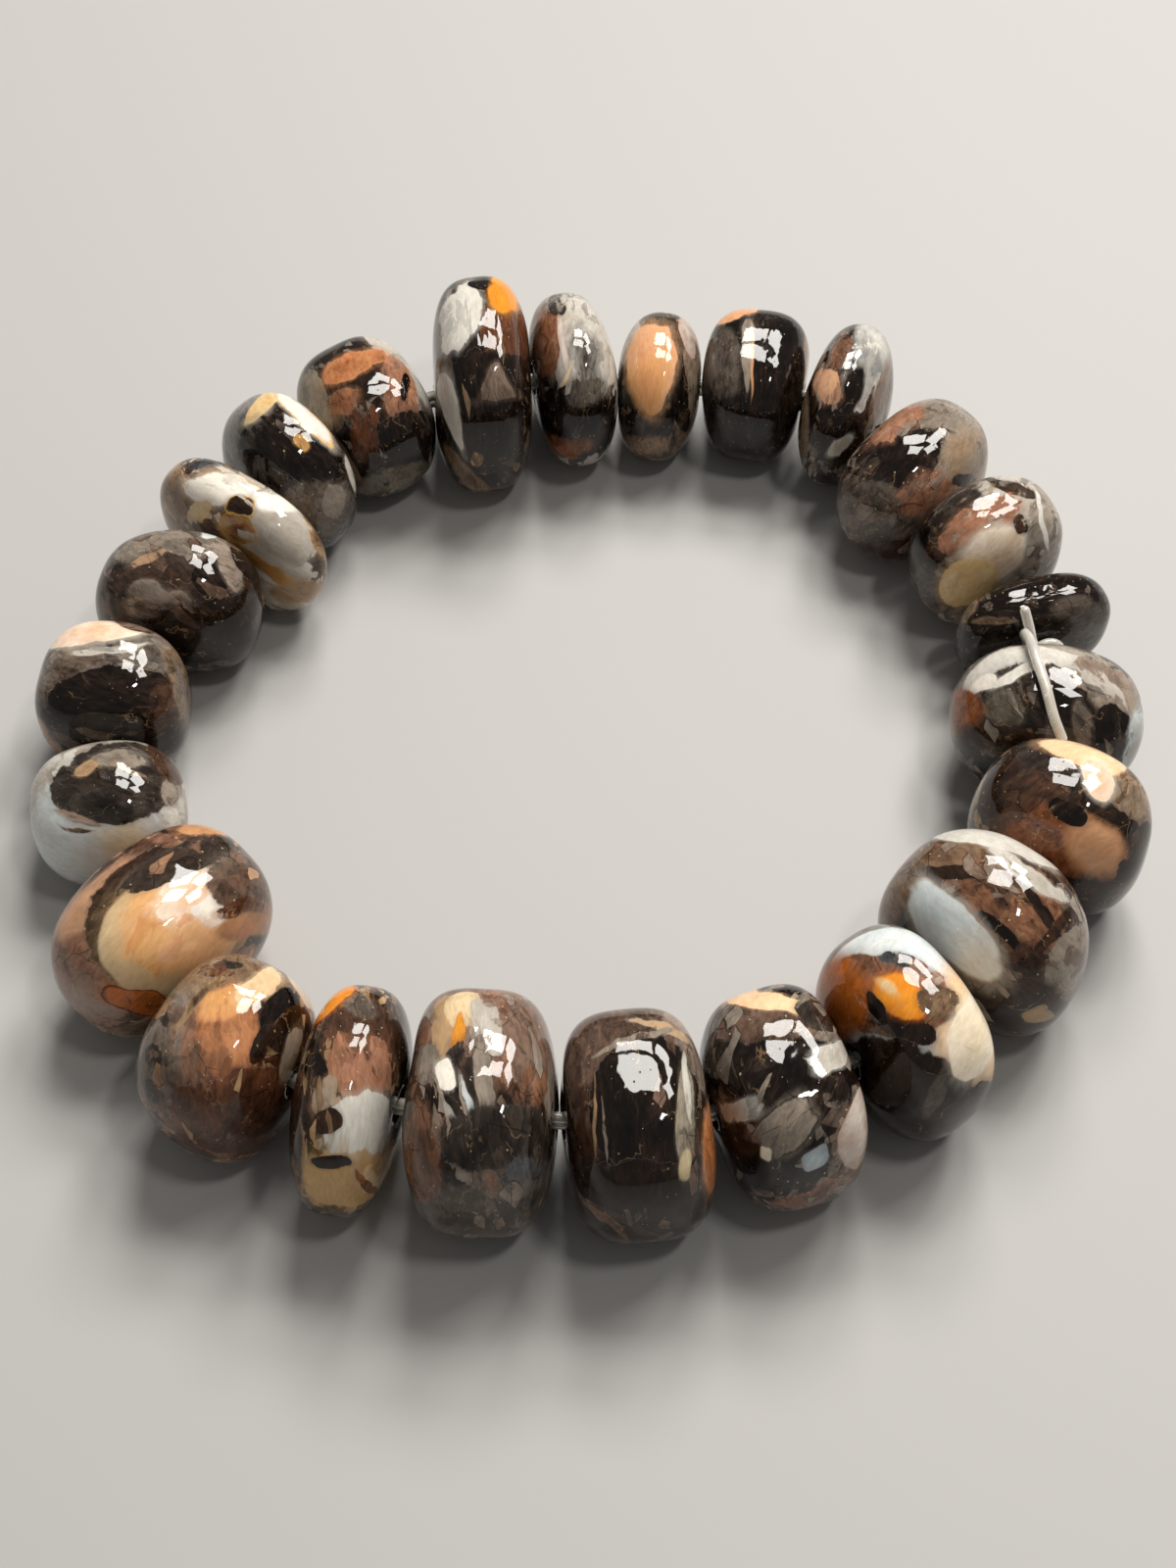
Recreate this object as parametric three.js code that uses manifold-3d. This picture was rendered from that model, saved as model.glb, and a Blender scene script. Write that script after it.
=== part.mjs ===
// Stone bead bracelet: 24 tumbled agate nuggets, drilled through and strung on clear elastic that is tied in one knot.
// Millimetres, +Z up. The bracelet lies on the plane z = 0, with the ring's middle at x = y = 0.

import * as THREE from 'three';
import { mergeVertices } from 'three/addons/utils/BufferGeometryUtils.js';
import Module from 'manifold-3d';

// ---------------------------------------------------------------- driving dimensions

const BORE_RADIUS = 1.1;         // the drilled hole
const MOUTH_FLARE = 1.5;         // the hole's rounded mouth, as a multiple of its radius
const MOUTH_SINK = 0.3;          // how far the hole's edge lies inside the stone's surface
const STRAND_DIAMETER = 0.8;     // one strand of elastic; two of them, one above the other, run through the stones
const STRAND_CLEARANCE = 0.3;    // between the tails and the stones they lie on
const KNOT_SIZE = [1.5, 1.9, 2.4];  // along the string, across it, upwards
const LUMPINESS = 0.012;         // how far a tumbled stone strays from its plain form, as a share of its radius

const AROUND = 16;               // facets around a stone
const RINGS = 11;                // rings of corners from mouth to mouth
const TAIL_SIDES = 8;
const TAIL_STEPS = 14;

// The stones' four families, by the colour that covers most of each.
const TONES = {
  dark: new THREE.MeshStandardMaterial({ color: '#2a221e', roughness: 0.12, metalness: 0 }),
  brown: new THREE.MeshStandardMaterial({ color: '#5d4034', roughness: 0.14, metalness: 0 }),
  peach: new THREE.MeshStandardMaterial({ color: '#b98258', roughness: 0.14, metalness: 0 }),
  pale: new THREE.MeshStandardMaterial({ color: '#a9a6a0', roughness: 0.12, metalness: 0 }),
};
const ELASTIC = new THREE.MeshStandardMaterial({ color: '#d9d8cf', roughness: 0.3, metalness: 0 });

// One row for each stone, in order along the string.
//   bearing  degrees round the ring from +X        reach   from the ring's middle to the hole
//   rise     height of the hole above the table    turn    degrees the stone is turned on the string, seen from above
//   along, deep, tall  full sizes: along the string, across the ring, upwards
//   square   2 is round across the string, more is boxier     ends   the same for how flat its two ends are
//   taper    narrowing towards the top                        wedge  narrowing outwards
const STONE_COLUMNS =
  ['bearing', 'reach', 'rise', 'turn', 'along', 'deep', 'tall', 'square', 'ends', 'taper', 'wedge', 'tone'];
const STONE_ROWS = [
  [103.5, 33.1, 7.4, -8, 7.6, 15.6, 15.5, 2.7, 3.0, 0, 0, 'dark'],
  [90.9, 33.8, 6.3, 9, 6.5, 13.4, 13.2, 2.3, 2.5, 0, 0, 'brown'],
  [79.3, 34.4, 5.4, 3, 6.5, 11.4, 11.3, 2.2, 2.4, 0, 0, 'peach'],
  [67.3, 36.4, 5.3, 14, 8.0, 11.2, 11.2, 2.7, 3.0, -0.06, -0.08, 'dark'],
  [55.7, 37.9, 6.0, 14.5, 6.3, 12.5, 12.5, 2.2, 2.3, 0, 0, 'dark'],
  [42.4, 35.6, 5.4, 2, 8.5, 13.5, 11.3, 2.4, 2.6, 0, 0, 'brown'],
  [27.7, 35.1, 5.9, -5, 8.1, 11.8, 12.4, 2.3, 2.5, 0, 0, 'pale'],
  [15.9, 35.7, 5.0, -1, 5.3, 12.2, 10.6, 2.3, 2.5, 0, 0, 'dark'],
  [1.1, 34.5, 5.6, -3, 10.1, 13.9, 11.7, 2.3, 2.5, 0, 0, 'dark'],
  [-15.8, 35.6, 7.0, -12, 9.6, 12.8, 14.6, 2.3, 2.6, 0, 0, 'brown'],
  [-33.0, 33.7, 7.1, -4, 10.3, 14.7, 14.8, 2.3, 2.6, 0, 0, 'brown'],
  [-50.2, 34.4, 7.2, -5, 8.5, 14.4, 15.2, 2.3, 2.6, 0, 0, 'peach'],
  [-66.3, 34.1, 6.8, -6, 9.0, 14.2, 14.2, 2.5, 3.2, 0, 0, 'dark'],
  [-83.4, 33.7, 7.2, 1, 9.65, 14.3, 15.0, 2.5, 3.2, 0, 0, 'dark'],
  [-101.0, 33.4, 7.8, 9, 9.8, 15.7, 16.3, 2.5, 3.2, 0, 0, 'dark'],
  [-115.5, 35.0, 7.1, 15, 6.7, 15.2, 14.9, 2.4, 2.8, 0, 0, 'brown'],
  [-130.0, 36.6, 6.7, 8, 9.9, 12.8, 14.1, 2.4, 2.8, 0, 0, 'peach'],
  [-148.7, 33.9, 6.1, 12, 10.9, 16.1, 12.8, 2.3, 2.7, 0, 0, 'peach'],
  [-168.2, 34.6, 5.0, -1, 9.5, 11.4, 10.5, 2.3, 2.6, 0, 0, 'pale'],
  [175.2, 34.5, 5.4, 2, 9.5, 11.4, 11.4, 2.5, 2.9, 0, 0, 'dark'],
  [159.1, 32.3, 5.7, 12, 8.3, 12.3, 12.1, 2.3, 2.7, 0, 0, 'brown'],
  [145.2, 31.5, 5.8, 1, 5.4, 14.8, 12.3, 2.3, 2.7, 0, 0, 'pale'],
  [133.3, 33.2, 6.1, 1, 7.3, 12.5, 12.8, 2.3, 2.5, 0, 0, 'dark'],
  [119.0, 34.8, 5.4, 4, 8.9, 12.3, 11.3, 2.4, 2.7, 0, 0, 'brown'],
];
const STONES = STONE_ROWS.map((row) => Object.fromEntries(row.map((value, i) => [STONE_COLUMNS[i], value])));

// Hollows worn into single stones. Direction is along, outward, up in the stone's own axes; a negative depth is a swelling.
// Depth is a share of the stone's radius there, and spread is about the hollow's half-width in radians.
const HOLLOWS = [
  { stone: 5, direction: [0.5, -0.9, -0.3], depth: -0.06, spread: 0.5 },
  { stone: 7, direction: [0.6, 0.4, 0.6], depth: -0.05, spread: 0.4 },
  { stone: 8, direction: [0, 0.1, 1], depth: 0.13, spread: 0.45 },
  { stone: 10, direction: [0.7, 0.7, 0], depth: 0.05, spread: 0.4 },
  { stone: 10, direction: [0.7, -0.7, 0], depth: 0.05, spread: 0.4 },
  { stone: 13, direction: [-0.9, -0.3, 0.3], depth: -0.07, spread: 0.5 },
  { stone: 14, direction: [-0.8, -0.5, 0.4], depth: 0.05, spread: 0.35 },
  { stone: 15, direction: [-0.8, -0.3, 0.5], depth: 0.05, spread: 0.3 },
  { stone: 16, direction: [0.8, 0.6, -0.2], depth: 0.1, spread: 0.6 },
  { stone: 20, direction: [-0.8, 0.6, 0.2], depth: 0.06, spread: 0.4 },
  { stone: 20, direction: [-0.8, -0.6, 0.2], depth: 0.06, spread: 0.4 },
  { stone: 24, direction: [-0.7, 0.6, 0.5], depth: -0.07, spread: 0.4 },
  { stone: 24, direction: [0.8, 0.5, 0.2], depth: -0.04, spread: 0.4 },
];

// The knot lies between stones 8 and 9. The long tail runs over stone 9 and tucks in beside stone 10: its points are
// degrees over the top of stone 9, from the knot's side, and millimetres outward of its middle.
const KNOT_AFTER = 8;
const LONG_TAIL_OVER = 9;
const LONG_TAIL = [
  { over: 44, outward: -1.9 },
  { over: 65, outward: -1.8 },
  { over: 85, outward: -1.5 },
  { over: 105, outward: -1.0 },
  { over: 122, outward: -0.5 },
  { over: 136, outward: 0.2 },
];
// The short tail stands up against stone 8: millimetres from the knot, back along the string, outward and up.
const SHORT_TAIL = [
  { back: 0.1, outward: -0.4, up: 1.4 },
  { back: 0.3, outward: -0.7, up: 2.6 },
  { back: 0.7, outward: -0.9, up: 3.6 },
  { back: 1.5, outward: -1.1, up: 4.6 },
];

// ---------------------------------------------------------------- stones

const UP = new THREE.Vector3(0, 0, 1);
const middles = STONES.map(({ bearing, reach, rise }) => {
  const angle = THREE.MathUtils.degToRad(bearing);
  return new THREE.Vector3(reach * Math.cos(angle), reach * Math.sin(angle), rise);
});

// A matrix whose columns are the stone's own axes: along the string, outward, up.
function stoneAxes({ bearing, turn }) {
  const outward = THREE.MathUtils.degToRad(bearing + turn);
  const axes = new THREE.Matrix4().makeRotationZ(outward);
  return axes.multiply(new THREE.Matrix4().makeBasis(new THREE.Vector3(0, 1, 0), new THREE.Vector3(1, 0, 0), UP));
}

// The low, slow unevenness of a tumbled stone, different for each.
function lumps(d, number) {
  return Math.sin(2.3 * d.x + 3.1 * d.y + 1.7 * number)
    + Math.sin(2.9 * d.y - 2.2 * d.z + 2.6 * number)
    + Math.sin(3.0 * d.z + 2.4 * d.x + 0.9 * number);
}

// Where the ray in unit direction d, in the stone's own axes, leaves the stone.
function stoneSurface(index, d) {
  const { along, deep, tall, square, ends, taper, wedge } = STONES[index];
  const number = index + 1;
  const half = new THREE.Vector3(along, deep, tall).multiplyScalar(0.5);
  const across = Math.abs(d.y / half.y) ** square + Math.abs(d.z / half.z) ** square;
  const sum = across ** (ends / square) + Math.abs(d.x / half.x) ** ends;
  let radius = sum ** (-1 / ends) * (1 + LUMPINESS * lumps(d, number));
  for (const { direction, depth, spread } of HOLLOWS.filter(({ stone }) => stone === number)) {
    const towards = new THREE.Vector3(...direction).normalize();
    radius *= 1 - depth * Math.exp(-(1 - d.dot(towards)) / spread ** 2);
  }
  const p = d.clone().multiplyScalar(radius);
  const narrowUp = 1 - taper * p.z / half.z;
  const narrowOut = 1 - wedge * p.y / half.y;
  return new THREE.Vector3(p.x * narrowUp * narrowOut, p.y * narrowUp, p.z * narrowOut);
}

// The same, with the direction and the answer in the bracelet's axes, from the stone's middle.
function surfaceTowards(index, direction) {
  const axes = stoneAxes(STONES[index]);
  return stoneSurface(index, direction.clone().transformDirection(axes.clone().invert())).applyMatrix4(axes);
}

// The string bends only in the gap from one stone to the next: midway between the places where the line between their
// middles leaves the one and enters the other. meetings[i] is the gap after stone i.
const meetings = STONES.map((_, i) => {
  const next = (i + 1) % STONES.length;
  const line = middles[next].clone().sub(middles[i]);
  const onward = line.clone().normalize();
  const leaves = surfaceTowards(i, onward).length();
  const enters = line.length() - surfaceTowards(next, onward.clone().negate()).length();
  return middles[i].clone().addScaledVector(onward, (leaves + enters) / 2);
});

function meetingBefore(index) {
  return meetings[(index + meetings.length - 1) % meetings.length];
}

// The string's direction through a stone, which is the direction of its hole.
function stringDirection(index) {
  return meetings[index].clone().sub(meetingBefore(index)).normalize();
}

// A closed solid from rows of corners that run around a ring, the last row joined to the first.
function ringSolid(rows) {
  const around = rows[0].length;
  const indices = [];
  rows.forEach((row, i) => {
    const next = ((i + 1) % rows.length) * around;
    for (let j = 0; j < around; j += 1) {
      const k = (j + 1) % around;
      indices.push(i * around + j, next + j, next + k, i * around + j, next + k, i * around + k);
    }
  });
  const geometry = new THREE.BufferGeometry();
  geometry.setAttribute('position', new THREE.Float32BufferAttribute(rows.flat().flatMap((p) => p.toArray()), 3));
  geometry.setIndex(indices);
  return geometry;
}

// A drilled stone: rings of corners over its surface from the mouth behind to the mouth in front, then back through
// the hole. The hole runs a little off the stone's middle, so the rings lean towards its mouths. The underside is worn
// flat where it rests.
function stoneGeometry(index) {
  const string = stringDirection(index);
  const side = string.clone().cross(UP).normalize();
  const top = side.clone().cross(string);
  const offCentre = meetingBefore(index).clone().sub(middles[index]);
  offCentre.addScaledVector(string, -offCentre.dot(string));
  const mouthDistance = (way) => {
    const length = surfaceTowards(index, string.clone().multiplyScalar(way)).length();
    const towards = string.clone().multiplyScalar(way * length).add(offCentre);
    return Math.abs(surfaceTowards(index, towards.normalize()).dot(string));
  };
  const front = mouthDistance(1);
  const back = mouthDistance(-1);
  const firstAngle = Math.atan(BORE_RADIUS / front) * MOUTH_FLARE;
  const lastAngle = Math.PI - Math.atan(BORE_RADIUS / back) * MOUTH_FLARE;
  const spokes = Array.from({ length: AROUND }, (_, j) => {
    const angle = (2 * Math.PI * j) / AROUND;
    return side.clone().multiplyScalar(Math.cos(angle)).addScaledVector(top, Math.sin(angle));
  });
  const rim = (distance) => spokes.map((s) => s.clone().multiplyScalar(BORE_RADIUS)
    .addScaledVector(string, distance).add(offCentre));

  const rows = [rim(MOUTH_SINK - back)];
  for (let i = 0; i < RINGS; i += 1) {
    const angle = THREE.MathUtils.lerp(lastAngle, firstAngle, i / (RINGS - 1));
    const lean = Math.abs(Math.cos(angle)) / (Math.cos(angle) > 0 ? front : back);
    const forward = string.clone().multiplyScalar(Math.cos(angle)).addScaledVector(offCentre, lean);
    rows.push(spokes.map((s) => surfaceTowards(index, forward.clone().addScaledVector(s, Math.sin(angle)).normalize())));
  }
  rows.push(rim(front - MOUTH_SINK));
  rows.flat().forEach((p) => {
    p.add(middles[index]);
    p.z = Math.max(p.z, 0);
  });
  return ringSolid(rows);
}

// ---------------------------------------------------------------- elastic

const solids = await Module();
solids.setup();

function toSolid(geometry) {
  const bare = geometry.clone();
  bare.deleteAttribute('normal');
  bare.deleteAttribute('uv');
  const merged = mergeVertices(bare, 1e-5);
  return new solids.Manifold(new solids.Mesh({
    numProp: 3,
    vertProperties: new Float32Array(merged.attributes.position.array),
    triVerts: new Uint32Array(merged.index.array),
  }));
}

function toGeometry(solid) {
  const { vertProperties, triVerts } = solid.getMesh();
  const geometry = new THREE.BufferGeometry();
  geometry.setAttribute('position', new THREE.BufferAttribute(vertProperties, 3));
  geometry.setIndex(new THREE.BufferAttribute(triVerts, 1));
  return geometry;
}

// The loop through every hole: two strands, one above the other, in one outline of eight corners, mitred where it bends.
function loopGeometry() {
  const r = STRAND_DIAMETER / 2;
  const bevel = r * Math.tan(Math.PI / 8);
  const outline = [[r, bevel + r], [bevel, 2 * r], [-bevel, 2 * r], [-r, bevel + r],
    [-r, -bevel - r], [-bevel, -2 * r], [bevel, -2 * r], [r, -bevel - r]];
  return ringSolid(meetings.map((at, i) => {
    const onward = stringDirection(i).add(stringDirection((i + 1) % meetings.length));
    const side = onward.cross(UP).normalize();
    return outline.map(([across, up]) => at.clone().addScaledVector(side, across).addScaledVector(UP, up));
  }));
}

function tailGeometry(points) {
  const r = STRAND_DIAMETER / 2;
  const corners = Array.from({ length: TAIL_SIDES }, (_, i) => {
    const angle = (2 * Math.PI * (i + 0.5)) / TAIL_SIDES;
    return new THREE.Vector2(r * Math.cos(angle), r * Math.sin(angle));
  });
  return new THREE.ExtrudeGeometry(new THREE.Shape(corners), {
    extrudePath: new THREE.CatmullRomCurve3(points),
    steps: TAIL_STEPS,
    bevelEnabled: false,
  });
}

// The long tail's points, each held clear of stone 9 by the clearance.
function longTailPoints(knot) {
  const index = LONG_TAIL_OVER - 1;
  const axes = stoneAxes(STONES[index]);
  const lift = STRAND_DIAMETER / 2 + STRAND_CLEARANCE;
  const over = LONG_TAIL.map((row) => {
    const angle = THREE.MathUtils.degToRad(row.over);
    const d = new THREE.Vector3(Math.cos(angle), 0, Math.sin(angle));
    const crown = stoneSurface(index, d);
    const aim = new THREE.Vector3(crown.x, row.outward, crown.z);
    const p = stoneSurface(index, aim.normalize());
    return p.addScaledVector(d, lift).applyMatrix4(axes).add(middles[index]);
  });
  return [knot, ...over];
}

function shortTailPoints(knot) {
  const string = stringDirection(KNOT_AFTER - 1);
  const outward = new THREE.Vector3(knot.x, knot.y, 0).normalize();
  const rest = SHORT_TAIL.map((row) => knot.clone()
    .addScaledVector(string, -row.back).addScaledVector(outward, row.outward).addScaledVector(UP, row.up));
  return [knot, ...rest];
}

function elasticGeometry() {
  const knot = meetings[KNOT_AFTER - 1];
  const lump = new THREE.SphereGeometry(0.5, 10, 8);
  lump.scale(...KNOT_SIZE);
  lump.rotateZ(Math.atan2(stringDirection(KNOT_AFTER - 1).y, stringDirection(KNOT_AFTER - 1).x));
  lump.translate(...knot.toArray());
  const pieces = [loopGeometry(), lump, tailGeometry(longTailPoints(knot)), tailGeometry(shortTailPoints(knot))];
  return toGeometry(pieces.map(toSolid).reduce((whole, piece) => whole.add(piece)));
}

// ---------------------------------------------------------------- the bracelet

const bracelet = new THREE.Group();
STONES.forEach(({ tone }, index) => {
  const stone = new THREE.Mesh(stoneGeometry(index), TONES[tone]);
  stone.name = `bead_${String(index + 1).padStart(2, '0')}`;
  bracelet.add(stone);
});
const elastic = new THREE.Mesh(elasticGeometry(), ELASTIC);
elastic.name = 'elastic_cord';
bracelet.add(elastic);

const middle = new THREE.Box3().setFromObject(bracelet).getCenter(new THREE.Vector3());
bracelet.position.set(-middle.x, -middle.y, 0);

export default bracelet;
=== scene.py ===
import math

import bpy
import numpy as np
from bpy.props import EnumProperty, FloatProperty, FloatVectorProperty, IntProperty, PointerProperty
from mathutils import Matrix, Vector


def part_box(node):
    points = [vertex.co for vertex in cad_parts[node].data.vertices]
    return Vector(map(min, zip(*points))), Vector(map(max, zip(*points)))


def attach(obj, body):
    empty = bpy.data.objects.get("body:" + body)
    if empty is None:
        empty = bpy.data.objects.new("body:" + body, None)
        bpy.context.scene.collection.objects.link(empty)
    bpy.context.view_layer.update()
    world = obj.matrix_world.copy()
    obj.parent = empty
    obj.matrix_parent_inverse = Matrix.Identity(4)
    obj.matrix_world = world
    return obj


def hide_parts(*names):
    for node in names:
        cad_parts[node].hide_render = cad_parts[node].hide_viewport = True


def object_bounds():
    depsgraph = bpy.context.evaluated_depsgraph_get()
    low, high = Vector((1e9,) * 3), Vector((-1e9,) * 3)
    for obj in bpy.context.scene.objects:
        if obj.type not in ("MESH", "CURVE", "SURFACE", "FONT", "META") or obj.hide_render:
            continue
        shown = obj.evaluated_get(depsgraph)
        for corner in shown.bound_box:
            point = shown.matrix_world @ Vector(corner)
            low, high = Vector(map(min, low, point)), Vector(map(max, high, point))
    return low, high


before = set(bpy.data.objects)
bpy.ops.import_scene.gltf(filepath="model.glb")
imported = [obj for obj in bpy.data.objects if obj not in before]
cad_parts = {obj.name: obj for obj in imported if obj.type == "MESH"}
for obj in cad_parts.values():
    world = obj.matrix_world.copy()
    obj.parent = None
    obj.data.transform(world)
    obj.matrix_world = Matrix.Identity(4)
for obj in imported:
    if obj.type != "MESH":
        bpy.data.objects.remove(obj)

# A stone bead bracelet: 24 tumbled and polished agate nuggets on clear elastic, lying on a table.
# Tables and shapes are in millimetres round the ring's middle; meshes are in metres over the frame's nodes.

bl_info = {
    "name": "Agate bead bracelet",
    "version": (1, 0, 0),
    "blender": (4, 5, 0),
    "location": "View3D > Sidebar > Bracelet",
    "description": "Builds a bracelet of tumbled agate nuggets strung on clear elastic",
    "category": "Add Mesh",
}

CAD_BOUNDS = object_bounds()
METRES = 0.001          # one millimetre
BODY = "root"
ELASTIC_NODE = "elastic_cord"
ELASTIC_SLOT = "elastic_clear"
UP = np.array([0.0, 0.0, 1.0])

# ---------------------------------------------------------------- the stones' shapes

# One row for each stone, clockwise along the string as seen from above.
#   bearing  degrees round the ring from +X        reach   from the ring's middle to the hole
#   rise     height of the hole above the table    turn    degrees the stone is turned on the string
#   along, deep, tall  full sizes: along the string, across the ring, upwards
#   square   2 is round across the string, more is boxier     ends   the same for how flat its two ends are
#   taper    narrowing towards the top                        wedge  narrowing outwards
STONE_COLUMNS = ("bearing", "reach", "rise", "turn", "along", "deep", "tall", "square", "ends", "taper", "wedge",
                 "family")
STONE_ROWS = (
    (103.5, 33.1, 7.4, -8, 7.6, 15.6, 15.5, 2.7, 3.0, 0, 0, "dark"),
    (90.9, 33.8, 6.3, 9, 6.5, 13.4, 13.2, 2.3, 2.5, 0, 0, "brown"),
    (79.3, 34.4, 5.4, 3, 6.5, 11.4, 11.3, 2.2, 2.4, 0, 0, "peach"),
    (67.3, 36.4, 5.3, 14, 8.0, 11.2, 11.2, 2.7, 3.0, -0.06, -0.08, "dark"),
    (55.7, 37.9, 6.0, 14.5, 6.3, 12.5, 12.5, 2.2, 2.3, 0, 0, "dark"),
    (42.4, 35.6, 5.4, 2, 8.5, 13.5, 11.3, 2.4, 2.6, 0, 0, "brown"),
    (27.7, 35.1, 5.9, -5, 8.1, 11.8, 12.4, 2.3, 2.5, 0, 0, "pale"),
    (15.9, 35.7, 5.0, -1, 5.3, 12.2, 10.6, 2.3, 2.5, 0, 0, "dark"),
    (1.1, 34.5, 5.6, -3, 10.1, 13.9, 11.7, 2.3, 2.5, 0, 0, "dark"),
    (-15.8, 35.6, 7.0, -12, 9.6, 12.8, 14.6, 2.3, 2.6, 0, 0, "brown"),
    (-33.0, 33.7, 7.1, -4, 10.3, 14.7, 14.8, 2.3, 2.6, 0, 0, "brown"),
    (-50.2, 34.4, 7.2, -5, 8.5, 14.4, 15.2, 2.3, 2.6, 0, 0, "peach"),
    (-66.3, 34.1, 6.8, -6, 9.0, 14.2, 14.2, 2.5, 3.2, 0, 0, "dark"),
    (-83.4, 33.7, 7.2, 1, 9.65, 14.3, 15.0, 2.5, 3.2, 0, 0, "dark"),
    (-101.0, 33.4, 7.8, 9, 9.8, 15.7, 16.3, 2.5, 3.2, 0, 0, "dark"),
    (-115.5, 35.0, 7.1, 15, 6.7, 15.2, 14.9, 2.4, 2.8, 0, 0, "brown"),
    (-130.0, 36.6, 6.7, 8, 9.9, 12.8, 14.1, 2.4, 2.8, 0, 0, "peach"),
    (-148.7, 33.9, 6.1, 12, 10.9, 16.1, 12.8, 2.3, 2.7, 0, 0, "peach"),
    (-168.2, 34.6, 5.0, -1, 9.5, 11.4, 10.5, 2.3, 2.6, 0, 0, "pale"),
    (175.2, 34.5, 5.4, 2, 9.5, 11.4, 11.4, 2.5, 2.9, 0, 0, "dark"),
    (159.1, 32.3, 5.7, 12, 8.3, 12.3, 12.1, 2.3, 2.7, 0, 0, "brown"),
    (145.2, 31.5, 5.8, 1, 5.4, 14.8, 12.3, 2.3, 2.7, 0, 0, "pale"),
    (133.3, 33.2, 6.1, 1, 7.3, 12.5, 12.8, 2.3, 2.5, 0, 0, "dark"),
    (119.0, 34.8, 5.4, 4, 8.9, 12.3, 11.3, 2.4, 2.7, 0, 0, "brown"),
)
STONES = {number: dict(zip(STONE_COLUMNS, row), number=number) for number, row in enumerate(STONE_ROWS, 1)}
COUNT = len(STONES)

# Hollows worn into single stones. Direction is along, outward, up in the stone's own axes; a negative depth is a
# swelling. Depth is a share of the stone's radius there, and spread is about the hollow's half-width in radians.
HOLLOW_COLUMNS = ("stone", "direction", "depth", "spread")
HOLLOW_ROWS = (
    (5, (0.5, -0.9, -0.3), -0.06, 0.5),
    (7, (0.6, 0.4, 0.6), -0.05, 0.4),
    (8, (0, 0.1, 1), 0.13, 0.45),
    (10, (0.7, 0.7, 0), 0.05, 0.4),
    (10, (0.7, -0.7, 0), 0.05, 0.4),
    (13, (-0.9, -0.3, 0.3), -0.07, 0.5),
    (14, (-0.8, -0.5, 0.4), 0.05, 0.35),
    (15, (-0.8, -0.3, 0.5), 0.05, 0.3),
    (16, (0.8, 0.6, -0.2), 0.1, 0.6),
    (20, (-0.8, 0.6, 0.2), 0.06, 0.4),
    (20, (-0.8, -0.6, 0.2), 0.06, 0.4),
    (24, (-0.7, 0.6, 0.5), -0.07, 0.4),
    (24, (0.8, 0.5, 0.2), -0.04, 0.4),
)
HOLLOWS = [dict(zip(HOLLOW_COLUMNS, row)) for row in HOLLOW_ROWS]
LUMPINESS = 0.012       # how far a tumbled stone strays from its plain form, as a share of its radius
RIPPLE = 0.0016         # the finer waviness that tumbling leaves
RIPPLE_PITCH = 3.1      # how much finer it is than the lumps

# ---------------------------------------------------------------- the elastic's route

KNOT_AFTER = 8          # the knot lies between this stone and the next
LONG_TAIL_OVER = 9
TAIL_CLEARANCE = 0.3    # between a tail and the stone it lies on
# The long tail over stone 9: degrees over its top from the knot's side, and millimetres outward of its middle.
LONG_TAIL = ((44, -1.9), (65, -1.8), (85, -1.5), (105, -1.0), (122, -0.5), (136, 0.2))
# The short tail against stone 8: millimetres from the knot, back along the string, outward and up.
SHORT_TAIL = ((0.1, -0.4, 1.4), (0.3, -0.7, 2.6), (0.7, -0.9, 3.6), (1.5, -1.1, 4.6))
STRAND_STEPS = 12       # along each stone
TAIL_STEPS = 8          # along each stretch of a tail
KNOT_STEPS = 96
KNOT_RISE = 1.2         # of its middle above the string
KNOT_SCALE = (0.55, 0.3, 0.3)       # across the ring, upwards and along the string
KNOT_SQUEEZE = 0.9      # how thick the elastic is where it is pulled tight, as a share of its thickness
KNOT_SEAM = 0.5         # how far along the string each row of the knot looks for its first side

# ---------------------------------------------------------------- the stage

AIM = np.array([0.7, -5.2, 6.0])    # what the camera looks at
CAMERA_DISTANCE = 200.0
CAMERA_ELEVATION = 56.0             # degrees
LENS = 63.4
FLOOR_SIZE = 3.0                    # metres across
FLOOR_GAP = 0.0002                  # metres between the floor and the lowest stone
FLOOR_LOOK = {"Base Color": (0.43, 0.425, 0.415, 1.0), "Roughness": 0.6}
ROOM_LIGHT = {"Color": (1.0, 0.975, 0.94, 1.0), "Strength": 0.2}
LAMP_COLOUR = (1.0, 0.965, 0.915)

# Soft lights: the direction they stand in from the ring's middle, the distance and size in metres, the power in watts.
# The four panes are one window behind the bracelet, a little to the right.
LIGHTS = (
    ("window_pane_1", (0.08, 0.64, 0.76), 0.60, (0.145, 0.125), 1.2),
    ("window_pane_2", (0.38, 0.58, 0.76), 0.60, (0.145, 0.125), 1.2),
    ("window_pane_3", (0.10, 0.41, 0.92), 0.60, (0.145, 0.125), 1.2),
    ("window_pane_4", (0.42, 0.34, 0.90), 0.60, (0.145, 0.125), 1.2),
    ("overhead", (0.30, -0.15, 0.95), 0.60, (0.08, 0.04), 0.5),
)

# ---------------------------------------------------------------- colours

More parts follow.
